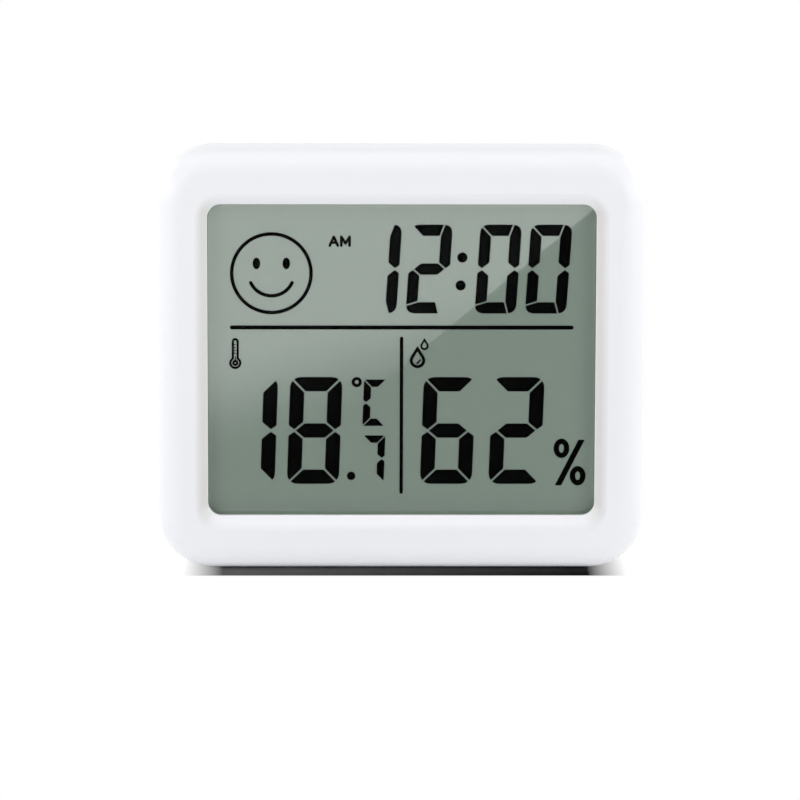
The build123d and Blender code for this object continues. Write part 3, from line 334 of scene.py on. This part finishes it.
def moulded_skin_group():
    """Spark-eroded tool texture of moulded plastic: fine grain and soft mottling.

    The colour is multiplied by one plus the variation times how far the mottling lies
    from a half. How far the grain lies from a half, times a share, is added to the
    roughness.
    """
    nodes, given = new_group(
        "moulded_skin",
        [
            ("Colour", "NodeSocketColor", (0.8, 0.8, 0.8, 1)),
            ("Grain scale", "NodeSocketFloat", FINE_GRAIN),
            ("Roughness", "NodeSocketFloat", 0.4),
            ("Variation", "NodeSocketFloat", MOTTLE_TONE),
        ],
    )
    place = nodes.place()
    grain = nodes.noise(place, given["Grain scale"], 3.0)
    mottle = nodes.noise(place, MOTTLE_SCALE, 2.0)
    shift = nodes.math("MULTIPLY", nodes.math("SUBTRACT", mottle, 0.5), given["Variation"])
    tint = nodes.scaled(given["Colour"], nodes.math("ADD", shift, 1.0))
    rough = nodes.math("MULTIPLY", nodes.math("SUBTRACT", grain, 0.5), GRAIN_ROUGHNESS)
    rough = nodes.math("ADD", rough, given["Roughness"])
    nodes.add("NodeGroupOutput", {"Colour": tint, "Roughness": rough, "Height": grain})


def brushed_sheet_group():
    """Rolled sheet metal: fine streaks and a faint change of tone.

    The place is multiplied by the stretch first, so that the noise is fine along one
    axis and drawn out along the others. The streaks move the tone about one, and a
    share of them is added to the roughness.
    """
    nodes, given = new_group(
        "brushed_sheet",
        [
            ("Colour", "NodeSocketColor", (0.7, 0.7, 0.7, 1)),
            ("Stretch", "NodeSocketVector", (1.0, 1.0, 30.0)),
            ("Roughness", "NodeSocketFloat", 0.3),
        ],
    )
    vectors = {0: nodes.place(), 1: given["Stretch"]}
    stretched = nodes.add("ShaderNodeVectorMath", vectors, operation="MULTIPLY").outputs[0]
    streaks = nodes.noise(stretched, STREAK_SCALE, 4.0)
    tone = nodes.math("ADD", nodes.math("MULTIPLY", streaks, STREAK_TONE), 1 - STREAK_TONE / 2)
    tint = nodes.scaled(given["Colour"], tone)
    rough = nodes.math("MULTIPLY", streaks, STREAK_ROUGHNESS)
    rough = nodes.math("ADD", rough, given["Roughness"])
    nodes.add("NodeGroupOutput", {"Colour": tint, "Roughness": rough, "Height": streaks})


def blank_tree(owner):
    """Clear the nodes of a material or a world, and return the helper that adds new ones."""
    owner.use_nodes = True
    owner.node_tree.nodes.clear()
    return Nodes(owner.node_tree)


def new_material(name, values=None):
    """Material with a Principled shader that has these plain values.

    It returns the material, the helper that adds its nodes, and the shader.
    """
    material = bpy.data.materials.new(name)
    nodes = blank_tree(material)
    shader = nodes.add("ShaderNodeBsdfPrincipled", values)
    nodes.add("ShaderNodeOutputMaterial", {"Surface": shader.outputs[0]})
    return material, nodes, shader


def effect(nodes, name, inputs):
    """Place a shared node group in a material with its own values."""
    return nodes.add("ShaderNodeGroup", inputs, node_tree=bpy.data.node_groups[name])


def put_on(nodes, shader, texture, bump, depth):
    """Join a texture's colour, roughness and relief to a shader."""
    heights = {"Height": texture.outputs["Height"], "Strength": bump, "Distance": depth}
    relief = nodes.add("ShaderNodeBump", heights)
    nodes.feed(shader.inputs["Base Color"], texture.outputs["Colour"])
    nodes.feed(shader.inputs["Roughness"], texture.outputs["Roughness"])
    nodes.feed(shader.inputs["Normal"], relief.outputs[0])


def put_on_skin(
    nodes, shader, tint, roughness, variation=MOTTLE_TONE, bump=MOULD_BUMP, grain=FINE_GRAIN
):
    """Give a shader the texture of moulded plastic."""
    values = {"Colour": tint, "Roughness": roughness, "Variation": variation, "Grain scale": grain}
    put_on(nodes, shader, effect(nodes, "moulded_skin", values), bump, MOULD_DEPTH)


def moulded_plastic(name, tint, roughness, **texture):
    """Moulded plastic with its tool texture."""
    material, nodes, shader = new_material(name)
    put_on_skin(nodes, shader, tint, roughness, **texture)
    return material


def sheet_metal(name, tint, roughness, stretch):
    """Plated or rolled metal with streaks."""
    material, nodes, shader = new_material(name, {"Metallic": 1})
    values = {"Colour": tint, "Roughness": roughness, "Stretch": stretch}
    put_on(nodes, shader, effect(nodes, "brushed_sheet", values), SHEET_BUMP, SHEET_DEPTH)
    return material


def case_white():
    """Satin white plastic of the shells, the stand, the cover and the keys."""
    material, nodes, shader = new_material("case_white")
    # This mask blends in the darker slope white: painted shade on the window's side slopes.
    slope = nodes.add("ShaderNodeAttribute", attribute_name="painted_side_shade").outputs["Fac"]
    colours = settings().colours
    put_on_skin(nodes, shader, nodes.mix(slope, colours.case, colours.slope), 0.3)
    return material


def clear_pane():
    """Clear pane: nearly invisible from the front, and more mirror-like at a slant."""
    values = {"Base Color": (1, 1, 1), "Metallic": 1, "Roughness": MIRROR_ROUGHNESS}
    material, nodes, shader = new_material("clear_pane", values)
    slant = nodes.add("ShaderNodeFresnel", {"IOR": PANE_IOR})
    nodes.feed(shader.inputs["Alpha"], slant.outputs[0])
    return material


def clear_layer(name, tint, opacity):
    """Glass or film inside the display, with a faint tint and a soft haze in its opacity."""
    values = {"Base Color": tint, "Roughness": 0.05, "Specular IOR Level": 0.0}
    material, nodes, shader = new_material(name, values)
    haze = nodes.noise(nodes.place(), HAZE_SCALE, 1.0)
    veil = nodes.math("MULTIPLY", haze, opacity * HAZE_OPACITY)
    veil = nodes.math("ADD", veil, opacity * (1 - HAZE_OPACITY / 2))
    nodes.feed(shader.inputs["Alpha"], veil)
    return material


def open_sky(nodes, distance):
    """How much light a point keeps beside a recess wall, as a share of an open point's.

    It is the foot share plus the rest times the distance over the root of the summed
    squares of the distance and the wall's height.
    """
    away = nodes.math("MAXIMUM", distance, 0.0)
    square = nodes.math("MULTIPLY", away, away)
    slant = nodes.math("SQRT", nodes.math("ADD", square, RECESS_HEIGHT**2))
    rise = nodes.math("MULTIPLY", nodes.math("DIVIDE", away, slant), 1 - RECESS_FOOT)
    return nodes.math("ADD", rise, RECESS_FOOT)


# Painted light: the foil's colour is lifted near the window's walls to cancel the shade they cast on it.
def painted_recess_lift(nodes):
    """Tone that evens out the shade of the window's four walls on the foil, up to a highest lift."""
    bezel = settings().bezel
    axes = nodes.axes()
    off_x = nodes.math("ABSOLUTE", axes["X"])
    off_z = nodes.math("ABSOLUTE", nodes.math("SUBTRACT", axes["Z"], CASE_MIDDLE_Z))
    sides = open_sky(nodes, nodes.math("SUBTRACT", bezel.window_width / 2, off_x))
    ends = open_sky(nodes, nodes.math("SUBTRACT", bezel.window_height / 2, off_z))
    lift = nodes.math("DIVIDE", 1.0, nodes.math("MULTIPLY", sides, ends))
    return nodes.math("MINIMUM", lift, RECESS_LIFT)


def reflector_foil():
    """Grey-green foil that the display is read against, under the hard gloss of its glass."""
    values = {"IOR": FOIL_IOR, "Roughness": MIRROR_ROUGHNESS}
    material, nodes, shader = new_material("reflector_foil", values)
    # The foil's tint is lifted near the walls: painted light.
    tint = nodes.scaled(tuple(settings().colours.reflector), painted_recess_lift(nodes))
    skin = effect(nodes, "moulded_skin", {"Colour": tint, "Variation": MOTTLE_TONE})
    nodes.feed(shader.inputs["Base Color"], skin.outputs["Colour"])
    return material


def segment_black():
    """Dark liquid-crystal segments."""
    material, nodes, shader = new_material("segment_black", {"Specular IOR Level": 0.0})
    put_on_skin(nodes, shader, settings().colours.segment, 0.6, bump=0.0)
    return material


def board_mask():
    """Plain green solder mask of the circuit board."""
    values = {"Base Color": settings().colours.board, "Roughness": 0.35}
    return new_material("board_mask", values)[0]


FINISHES = {}

# Nodes with another finish than their slot's. The rear glass wears the foil's, so that
# few clear layers lie over it, and the window's gasket is white in place of dark foam.
OTHER_FINISHES = {"lcd_rear_glass": "reflector_grey_green", "window_gasket": "gasket_white"}


def make_finishes():
    """Build each material once, under its slot's name, and one more for the gasket.

    A plastic in the table has its colour, its roughness and what differs in its texture,
    and a metal its colour, its roughness and the stretch of its streaks.
    """
    colours = settings().colours
    FINISHES.update(
        case_white=case_white(),
        window_clear=clear_pane(),
        display_glass=clear_layer("display_glass", (0.35, 0.42, 0.37), 0.006),
        polariser_film=clear_layer("polariser_film", (0.22, 0.26, 0.22), 0.03),
        reflector_grey_green=reflector_foil(),
        segment_black=segment_black(),
        board_green=board_mask(),
    )
    plastics = {
        "foam_black": (colours.foam, 0.9, dict(variation=0.3, bump=0.4, grain=FOAM_GRAIN)),
        "gasket_white": ((0.7, 0.71, 0.7), 0.8, dict(variation=0.1, bump=0.2, grain=FOAM_GRAIN)),
        "seal_resin": ((0.5, 0.52, 0.46), 0.4, {}),
        "connector_rubber": ((0.5, 0.12, 0.16), 0.6, dict(variation=0.1)),
        "resin_black": ((0.018, 0.018, 0.02), 0.35, dict(variation=0.2, bump=0.1)),
        "capacitor_tan": ((0.30, 0.17, 0.07), 0.45, dict(variation=0.1)),
        "sensor_white": ((0.75, 0.76, 0.74), 0.5, {}),
        "sensor_film": ((0.55, 0.32, 0.06), 0.3, dict(variation=0.2)),
        "cell_gasket": ((0.08, 0.08, 0.09), 0.5, {}),
        "cell_core": ((0.01, 0.01, 0.01), 0.8, dict(variation=0.3)),
    }
    for name, (tint, roughness, texture) in plastics.items():
        FINISHES[name] = moulded_plastic(name, tint, roughness, **texture)
    metals = {
        "bright_metal": (colours.metal, 0.22, (1, 1, 30)),
        "cell_steel": (colours.steel, 0.25, (30, 1, 1)),
        "screw_steel": (colours.steel, 0.3, (1, 20, 1)),
    }
    for name, (tint, roughness, stretch) in metals.items():
        FINISHES[name] = sheet_metal(name, tint, roughness, stretch)


def slot_of(node):
    """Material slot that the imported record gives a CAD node."""
    for entry in frame["record"]["subparts"]:
        if entry["node"] == node:
            return entry["material_slot"]
    raise ValueError("the record has no slot for " + node)


def dress(piece, slot_name):
    """Give a piece its one material."""
    piece.data.materials.clear()
    piece.data.materials.append(FINISHES[slot_name])


def spacing(corner_steps, side_steps):
    """Angles of the points along a corner, and how far along a side its inner points lie."""
    turn = np.linspace(0, math.pi / 2, corner_steps + 1)
    step = np.linspace(0, 1, side_steps + 1)[1:-1]
    return turn, step


def sideways(corner_steps, side_steps):
    """How far each point of an outline faces left or right, from nought to one.

    It is the square of the cosine of the outward direction's angle, in the same order
    of points as the outline.
    """
    turn, step = spacing(corner_steps, side_steps)
    runs = []
    for quarter in range(4):
        runs.append(np.cos(turn + quarter * math.pi / 2) ** 2)
        runs.append(np.full(len(step), round(math.cos((quarter + 1) * math.pi / 2) ** 2)))
    return np.concatenate(runs)


def outline(half_width, half_height, radius, corner_steps, side_steps):
    """Points round a rounded rectangle, one row for each set of half sizes and radius.

    A corner point is its centre plus the radius times cosine and sine; a side point
    lies at an even share of the way from one corner's end to the next one's start.
    """
    turn, step = spacing(corner_steps, side_steps)
    corners = []
    for quarter, (side_x, side_z) in enumerate([(1, 1), (-1, 1), (-1, -1), (1, -1)]):
        around = turn + quarter * math.pi / 2
        x = side_x * (half_width - radius)[:, None] + radius[:, None] * np.cos(around)
        z = side_z * (half_height - radius)[:, None] + radius[:, None] * np.sin(around)
        corners.append(np.stack([x, z], axis=-1))
    runs = []
    for quarter in range(4):
        here = corners[quarter]
        after = corners[(quarter + 1) % 4]
        side = here[:, -1:, :] + (after[:, :1, :] - here[:, -1:, :]) * step[None, :, None]
        runs += [here, side]
    return np.concatenate(runs, axis=1)


def carry_round(rings, steps):
    """Points of a section carried round rounded rectangles, ring by ring.

    Each ring of the section has a half width, a half height, a corner radius, a depth
    and the height of its middle. The number of points in a ring is returned as well.
    """
    half_x, half_z, radius, depth, middle = rings.T
    flat = outline(half_x, half_z, radius, *steps)
    count = flat.shape[1]
    depths = np.repeat(depth[:, None], count, axis=1)
    points = np.stack([flat[..., 0], depths, flat[..., 1] + middle[:, None]], axis=-1)
    return points.reshape(-1, 3), count


def ring_faces(rings, count):
    """Quads between neighbouring rings of a closed tube, the last ring joined to the first."""
    row = np.arange(rings)[:, None]
    column = np.arange(count)[None, :]
    next_row = (row + 1) % rings
    next_column = (column + 1) % count
    quads = np.stack(
        np.broadcast_arrays(
            row * count + column, row * count + next_column,
            next_row * count + next_column, next_row * count + column,
        ),
        axis=-1,
    )
    return quads.reshape(-1, 4)


def make_mesh(name, points, faces):
    """Mesh object from an array of points and a list of faces."""
    mesh = bpy.data.meshes.new(name)
    mesh.from_pydata(points.tolist(), [], faces)
    mesh.validate()
    piece = bpy.data.objects.new(name, mesh)
    bpy.context.scene.collection.objects.link(piece)
    return piece


def soften(piece):
    """Smooth shading with sharp edges kept, and flat faces that stay flat."""
    piece.data.shade_smooth()
    piece.data.set_sharp_from_angle(angle=math.radians(SHARP_ANGLE))
    weighted = piece.modifiers.new("flat_faces", "WEIGHTED_NORMAL")
    weighted.keep_sharp = True
    weighted.weight = FLAT_WEIGHT


def arc(centre_a, centre_b, radius, start, end, steps):
    """Points of an arc in the section's plane, between two angles in degrees.

    A point is the centre plus the radius times the cosine and the sine of its angle.
    """
    turn = np.radians(np.linspace(start, end, steps + 1))
    return np.stack([centre_a + radius * np.cos(turn), centre_b + radius * np.sin(turn)], axis=-1)


def shell_rings(sizes):
    """Section of the front shell outside the window, as rings for carry_round.

    Each ring is the case's outline drawn in by an inset. The front edge is an arc from
    the face to the side, and the cavity's edge is the same arc drawn in by the wall.
    """
    front = CASE_LOW.y
    seam = CASE_HIGH.y
    half_x = CASE_HIGH.x
    half_z = (CASE_HIGH.z - CASE_LOW.z) / 2
    edge = sizes.edge_radius
    inner_edge = edge - sizes.side_wall
    inner_front = front + sizes.front_wall
    section = np.concatenate([
        arc(edge, front + edge, edge, 270, 180, EDGE_STEPS),
        [[0, seam - sizes.seam_chamfer], [sizes.seam_chamfer, seam], [sizes.side_wall, seam]],
        arc(edge, inner_front + inner_edge, inner_edge, 180, 270, CAVITY_STEPS),
    ])
    inset, depth = section.T
    radius = sizes.corner_radius - inset
    # The case stands at height nought, so its middle is half its height up.
    middle = np.full(len(inset), half_z)
    return np.stack([half_x - inset, half_z - inset, radius, depth, middle], axis=1)


def window_rings(sizes):
    """Section of the front shell at the window, as rings for carry_round.

    It is worked out for the slopes at the sides: the wall, the lip that turns from the
    wall to the slope, and the soft edge that turns from the slope to the face. Above and
    below the window its width is multiplied by the top's or the bottom's share of the
    side's bevel, so the middle of a ring moves by half the difference.
    """
    front = CASE_LOW.y
    width = sizes.bevel_side
    slope = math.atan2(sizes.bevel_depth, width)
    lip = sizes.lip_radius
    lip_turn = math.pi / 2 - slope
    lip_centre = (lip, front + sizes.bevel_depth + lip * math.tan(lip_turn / 2))
    soft = sizes.bevel_softness
    soft_centre = (width + soft * math.tan(slope / 2), front + soft)
    section = np.concatenate([
        [[0, front + sizes.front_wall]],
        arc(*lip_centre, lip, 180, 180 + math.degrees(lip_turn), LIP_STEPS),
        arc(*soft_centre, soft, 270 - math.degrees(slope), 270, SOFT_STEPS),
    ])
    grow, depth = section.T
    above = grow * sizes.bevel_top / width
    below = grow * sizes.bevel_bottom / width
    half_x = sizes.window_width / 2 + grow
    half_z = sizes.window_height / 2 + (above + below) / 2
    radius = sizes.window_radius + grow
    middle = CASE_MIDDLE_Z + (above - below) / 2
    return np.stack([half_x, half_z, radius, depth, middle], axis=1)


def slope_shade_mask(rings):
    """How much each ring of the window's section counts as slope, from nought to one.

    The wall and the lip count as nought, the end of the lip and the start of the soft
    edge as one, and the soft edge fades evenly to nought at the front face. The mask
    places the painted shade that darkens the white of the side slopes.
    """
    fade = np.linspace(1, 0, SOFT_STEPS + 1)
    return np.concatenate([np.zeros(rings - len(fade) - 1), [1], fade])


def build_front_shell():
    """Front shell as one closed section carried round the case and the window."""
    sizes = settings().bezel
    shell = shell_rings(sizes)
    window = window_rings(sizes)
    rings = np.concatenate([shell, window])
    points, count = carry_round(rings, SHELL_STEPS)
    piece = make_mesh("front_shell", points, ring_faces(len(rings), count).tolist())
    # Painted shade: the side slopes carry a mask that darkens their white, strongest where they face left
    # or right.
    shade_on_slope = np.concatenate([np.zeros(len(shell)), slope_shade_mask(len(window))])
    slope = (shade_on_slope[:, None] * sideways(*SHELL_STEPS)[None, :]).astype(np.float32)
    mask = piece.data.attributes.new("painted_side_shade", "FLOAT", "POINT")
    mask.data.foreach_set("value", slope.ravel())
    soften(piece)
    dress(piece, "case_white")
    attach(piece, "case")
    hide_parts("front_bezel")


def slab(name, low, high, radius, edge):
    """Closed slab with rounded corners and small chamfers, standing in the X-Z plane.

    Its section is carried round the outline: front chamfer, side and rear chamfer, with
    one flat face in front and one behind.
    """
    half_x = (high[0] - low[0]) / 2
    half_z = (high[2] - low[2]) / 2
    inset = np.array([edge, 0, 0, edge])
    depth = np.array([low[1], low[1] + edge, high[1] - edge, high[1]])
    middle = np.full(len(inset), (high[2] + low[2]) / 2)
    rings = np.stack([half_x - inset, half_z - inset, radius - inset, depth, middle], axis=1)
    points, count = carry_round(rings, GLASS_STEPS)
    points[:, 0] += (high[0] + low[0]) / 2
    last = count * (len(rings) - 1)
    sides = ring_faces(len(rings), count)[:last].tolist()
    front = list(range(count))
    rear = list(range(last, last + count))[::-1]
    return outward(make_mesh(name, points, sides + [front, rear]))


def outward(piece):
    """Turn a closed piece's faces so that they point outwards."""
    shape = bmesh.new()
    shape.from_mesh(piece.data)
    bmesh.ops.recalc_face_normals(shape, faces=shape.faces)
    shape.to_mesh(piece.data)
    shape.free()
    return piece


def build_display_glass():
    """Front glass of the display with the polarising film bonded to its face."""
    low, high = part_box("lcd_front_glass")
    film_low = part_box("lcd_front_polariser")[0]
    start = (low.x, film_low.y, low.z)
    piece = slab("display_glass", start, high, GLASS_RADIUS, GLASS_CHAMFER)
    dress(piece, "display_glass")
    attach(piece, "case")
    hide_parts("lcd_front_polariser", "lcd_front_glass")


class SENSOR_OT_finishes(bpy.types.Operator):
    """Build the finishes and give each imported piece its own"""

    bl_idname = "sensor.finishes"
    bl_label = "Finishes"

    def execute(self, context):
        moulded_skin_group()
        brushed_sheet_group()
        make_finishes()
        for node, piece in frame["nodes"].items():
            dress(piece, OTHER_FINISHES.get(node, slot_of(node)))
        return {"FINISHED"}


class SENSOR_OT_front_shell(bpy.types.Operator):
    """Build the smooth front shell"""

    bl_idname = "sensor.front_shell"
    bl_label = "Front shell"

    def execute(self, context):
        build_front_shell()
        return {"FINISHED"}


class SENSOR_OT_display(bpy.types.Operator):
    """Build the display's front glass with its film"""

    bl_idname = "sensor.display"
    bl_label = "Display glass"

    def execute(self, context):
        build_display_glass()
        return {"FINISHED"}


def add_panel_lamp(name, place, size, radiance):
    """Panel lamp of a width and a height, with the radiance of its face, that faces the case.

    Its power is the radiance times pi times the face's area.
    """
    data = bpy.data.lights.new(name, "AREA")
    data.shape = "RECTANGLE"
    data.size = size[0]
    data.size_y = size[1]
    data.energy = radiance * math.pi * size[0] * size[1]
    lamp = bpy.data.objects.new(name, data)
    lamp.location = place
    direction = Vector((0, 0, CASE_MIDDLE_Z)) - Vector(place)
    lamp.rotation_euler = direction.to_track_quat("-Z", "Y").to_euler()
    bpy.context.scene.collection.objects.link(lamp)


def add_lamps(studio):
    """Panel above, and one beside and one behind the unit on each side."""
    add_panel_lamp("top_lamp", TOP_LAMP_PLACE, TOP_LAMP_SIZE, studio.top_lamp)
    for side, name in ((-1, "left"), (1, "right")):
        x, y, z = SIDE_LAMP_PLACE
        add_panel_lamp(name + "_lamp", (side * x, y, z), SIDE_LAMP_SIZE, studio.side_lamp)
        x, y, z = REAR_LAMP_PLACE
        add_panel_lamp(name + "_rear_lamp", (side * x, y, z), REAR_LAMP_SIZE, studio.rear_lamp)


def camera_direction(studio):
    """Unit vector from the point that the camera looks at to the camera, as X, Y and Z."""
    level = math.cos(studio.elevation)
    return (
        math.sin(studio.azimuth) * level,
        -math.cos(studio.azimuth) * level,
        math.sin(studio.elevation),
    )


def add_camera(studio):
    """Camera at the photograph's angle, aimed at a point on the middle plane."""
    data = bpy.data.cameras.new("camera")
    data.lens = studio.lens
    data.sensor_width = CAMERA_SENSOR
    data.sensor_fit = "HORIZONTAL"
    data.clip_start = NEAR_LIMIT
    camera = bpy.data.objects.new("camera", data)
    aim = Vector((studio.aim_x, 0, studio.aim_z))
    direction = Vector(camera_direction(studio))
    camera.location = aim + direction * studio.distance
    look = (-direction).to_track_quat("-Z", "Y")
    roll = Euler((0, 0, studio.roll)).to_quaternion()
    camera.rotation_euler = (look @ roll).to_euler()
    bpy.context.scene.collection.objects.link(camera)
    bpy.context.scene.camera = camera


def seen_ray(nodes):
    """One where the ray comes from the camera, a mirror or clear glass, else nought."""
    path = nodes.add("ShaderNodeLightPath")
    seen = nodes.math("MAXIMUM", path.outputs["Is Camera Ray"], path.outputs["Is Glossy Ray"])
    return nodes.math("MAXIMUM", seen, path.outputs["Is Transmission Ray"])


def floor_material(studio):
    """Pale floor, plain white to the eye, with the dark contact shadow along the unit's foot.

    The shadow is painted: a dark floor tone that only camera rays see, laid out by place
    rather than cast by the lamps. It is the product of three fades: one at its two ends,
    one at its half depth and a softer one behind the unit. Its tone goes from the left
    end's to the right end's, and towards the right it darkens further in front and behind.
    """
    material = bpy.data.materials.new("floor")
    nodes = blank_tree(material)
    axes = nodes.axes()
    reach_x = nodes.math("ABSOLUTE", nodes.math("SUBTRACT", axes["X"], studio.shadow_centre))
    reach_y = nodes.math("ABSOLUTE", axes["Y"])
    ends = nodes.ramp(reach_x, studio.shadow_inner_x, studio.shadow_outer_x, 1.0, 0.0)
    front = nodes.ramp(reach_y, studio.shadow_inner_y, studio.shadow_outer_y, 1.0, 0.0)
    behind = nodes.ramp(axes["Y"], studio.shadow_rear_y, studio.shadow_outer_y, 1.0, 0.0)
    # Painted shadow: a mask by place on the floor, not a cast shadow.
    shadow = nodes.math("MULTIPLY", ends, nodes.math("MULTIPLY", front, behind))
    to_right = nodes.ramp(axes["X"], -studio.shadow_outer_x, studio.shadow_outer_x)
    outwards = nodes.ramp(reach_y, studio.shadow_near_y, studio.shadow_outer_y)
    dark = nodes.mix(to_right, studio.shadow_left, studio.shadow_right)
    dark = nodes.mix(nodes.math("MULTIPLY", outwards, to_right), dark, (0, 0, 0))
    camera_ray = nodes.add("ShaderNodeLightPath").outputs["Is Camera Ray"]
    matt = nodes.add("ShaderNodeBsdfDiffuse", {"Color": nodes.mix(camera_ray, studio.floor, dark)})
    white = nodes.add("ShaderNodeEmission", {"Color": (1, 1, 1), "Strength": 1.0})
    plain = nodes.math("MULTIPLY", nodes.math("SUBTRACT", 1.0, shadow), seen_ray(nodes))
    both = nodes.add("ShaderNodeMixShader", {0: plain, 1: matt.outputs[0], 2: white.outputs[0]})
    nodes.add("ShaderNodeOutputMaterial", {"Surface": both.outputs[0]})
    return material


def flag_material(studio):
    """Grey card that is white above a slanting line.

    The white is crisp along that line. Between two flatter lines it goes smoothly from
    grey to white, so the crisp edge is gone where it runs below them, at the left.
    """
    material = bpy.data.materials.new("flag")
    nodes = blank_tree(material)
    axes = nodes.axes()
    slant = nodes.math("MULTIPLY", axes["X"], math.tan(studio.flag_slope))
    above = nodes.math("SUBTRACT", axes["Z"], slant)
    crisp = nodes.ramp(above, studio.flag_height - FLAG_BLUR, studio.flag_height + FLAG_BLUR)
    lean = nodes.math("MULTIPLY", axes["X"], math.tan(studio.fade_slope))
    level = nodes.math("SUBTRACT", axes["Z"], lean)
    soft = nodes.ramp(level, studio.fade_low, studio.fade_high, interpolation_type="SMOOTHSTEP")
    white = nodes.math("MULTIPLY", crisp, soft)
    tone = nodes.ramp(white, 0.0, 1.0, studio.flag_tone, 1.0)
    glow = nodes.add("ShaderNodeEmission", {"Color": (1, 1, 1), "Strength": tone})
    nodes.add("ShaderNodeOutputMaterial", {"Surface": glow.outputs[0]})
    return material


def flat_sheet(name, corners, material):
    """One flat face through four corners, in one material."""
    sheet = make_mesh(name, np.array(corners), [[0, 1, 2, 3]])
    sheet.data.materials.append(material)
    return sheet


def add_floor(studio):
    """Wide floor under the unit."""
    far = FLOOR_REACH
    corners = [[-far, -far, 0], [far, -far, 0], [far, far, 0], [-far, far, 0]]
    floor = flat_sheet("floor", corners, floor_material(studio))


def add_flag(studio):
    """Grey card in front of the display that only its reflections show.

    It is as large as the camera sees it in the display. Each corner is the display's
    corner plus that corner's offset from the camera times the ray share, which is the
    card's depth from the display over the camera's.
    """
    low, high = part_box("lcd_rear_glass")
    across, _, up = camera_direction(studio)
    camera_x = studio.aim_x + across * studio.distance
    camera_z = studio.aim_z + up * studio.distance
    camera_depth = low.y + math.cos(studio.elevation) * studio.distance
    ray_share = (low.y - studio.flag_y) / camera_depth
    left, right = (x + (x - camera_x) * ray_share for x in (low.x, high.x))
    foot, top = (z + (z - camera_z) * ray_share for z in (low.z, high.z))
    y = studio.flag_y
    corners = [[left, y, foot], [right, y, foot], [right, y, top], [left, y, top]]
    flag = flat_sheet("flag", corners, flag_material(studio))
    flag.visible_camera = False
    flag.visible_diffuse = False
    flag.visible_shadow = False
    flag.visible_transmission = False


def light_world(studio):
    """Even white light from all round, which shows as plain white behind the floor."""
    world = bpy.data.worlds.new("studio")
    bpy.context.scene.world = world
    nodes = blank_tree(world)
    levels = {0: seen_ray(nodes), 2: studio.world_light, 3: 1.0}
    level = nodes.add("ShaderNodeMix", levels, data_type="FLOAT").outputs[0]
    light = nodes.add("ShaderNodeBackground", {"Color": (1, 1, 1), "Strength": level})
    nodes.add("ShaderNodeOutputWorld", {"Surface": light.outputs[0]})


class SENSOR_OT_stage(bpy.types.Operator):
    """Set up the floor, the grey card, the lamps and the camera"""

    bl_idname = "sensor.stage"
    bl_label = "Stage"

    def execute(self, context):
        studio = settings().studio
        bpy.context.scene.view_settings.view_transform = "Standard"
        add_floor(studio)
        add_flag(studio)
        light_world(studio)
        add_lamps(studio)
        add_camera(studio)
        return {"FINISHED"}


OPERATORS = (SENSOR_OT_finishes, SENSOR_OT_front_shell, SENSOR_OT_display, SENSOR_OT_stage)


class SENSOR_PT_sidebar(bpy.types.Panel):
    """Lists the steps that build the sensor"""

    bl_idname = "SENSOR_PT_sidebar"
    bl_label = "Sensor"
    bl_space_type = "VIEW_3D"
    bl_region_type = "UI"
    bl_category = "Sensor"

    def draw(self, context):
        for operator in OPERATORS:
            self.layout.operator(operator.bl_idname)


CLASSES = (
    BezelSizes, FinishColours, StudioSettings, SensorSettings, *OPERATORS, SENSOR_PT_sidebar,
)


def register():
    """Register the settings, the operators and the panel."""
    for cls in CLASSES:
        bpy.utils.register_class(cls)
    bpy.types.Scene.sensor = PointerProperty(type=SensorSettings)


def unregister():
    """Take them out again in the opposite order."""
    del bpy.types.Scene.sensor
    for cls in reversed(CLASSES):
        bpy.utils.unregister_class(cls)


def main():
    """Build everything in order."""
    register()
    for operator in OPERATORS:
        category, name = operator.bl_idname.split(".")
        getattr(getattr(bpy.ops, category), name)()


if __name__ == "__main__":
    main()
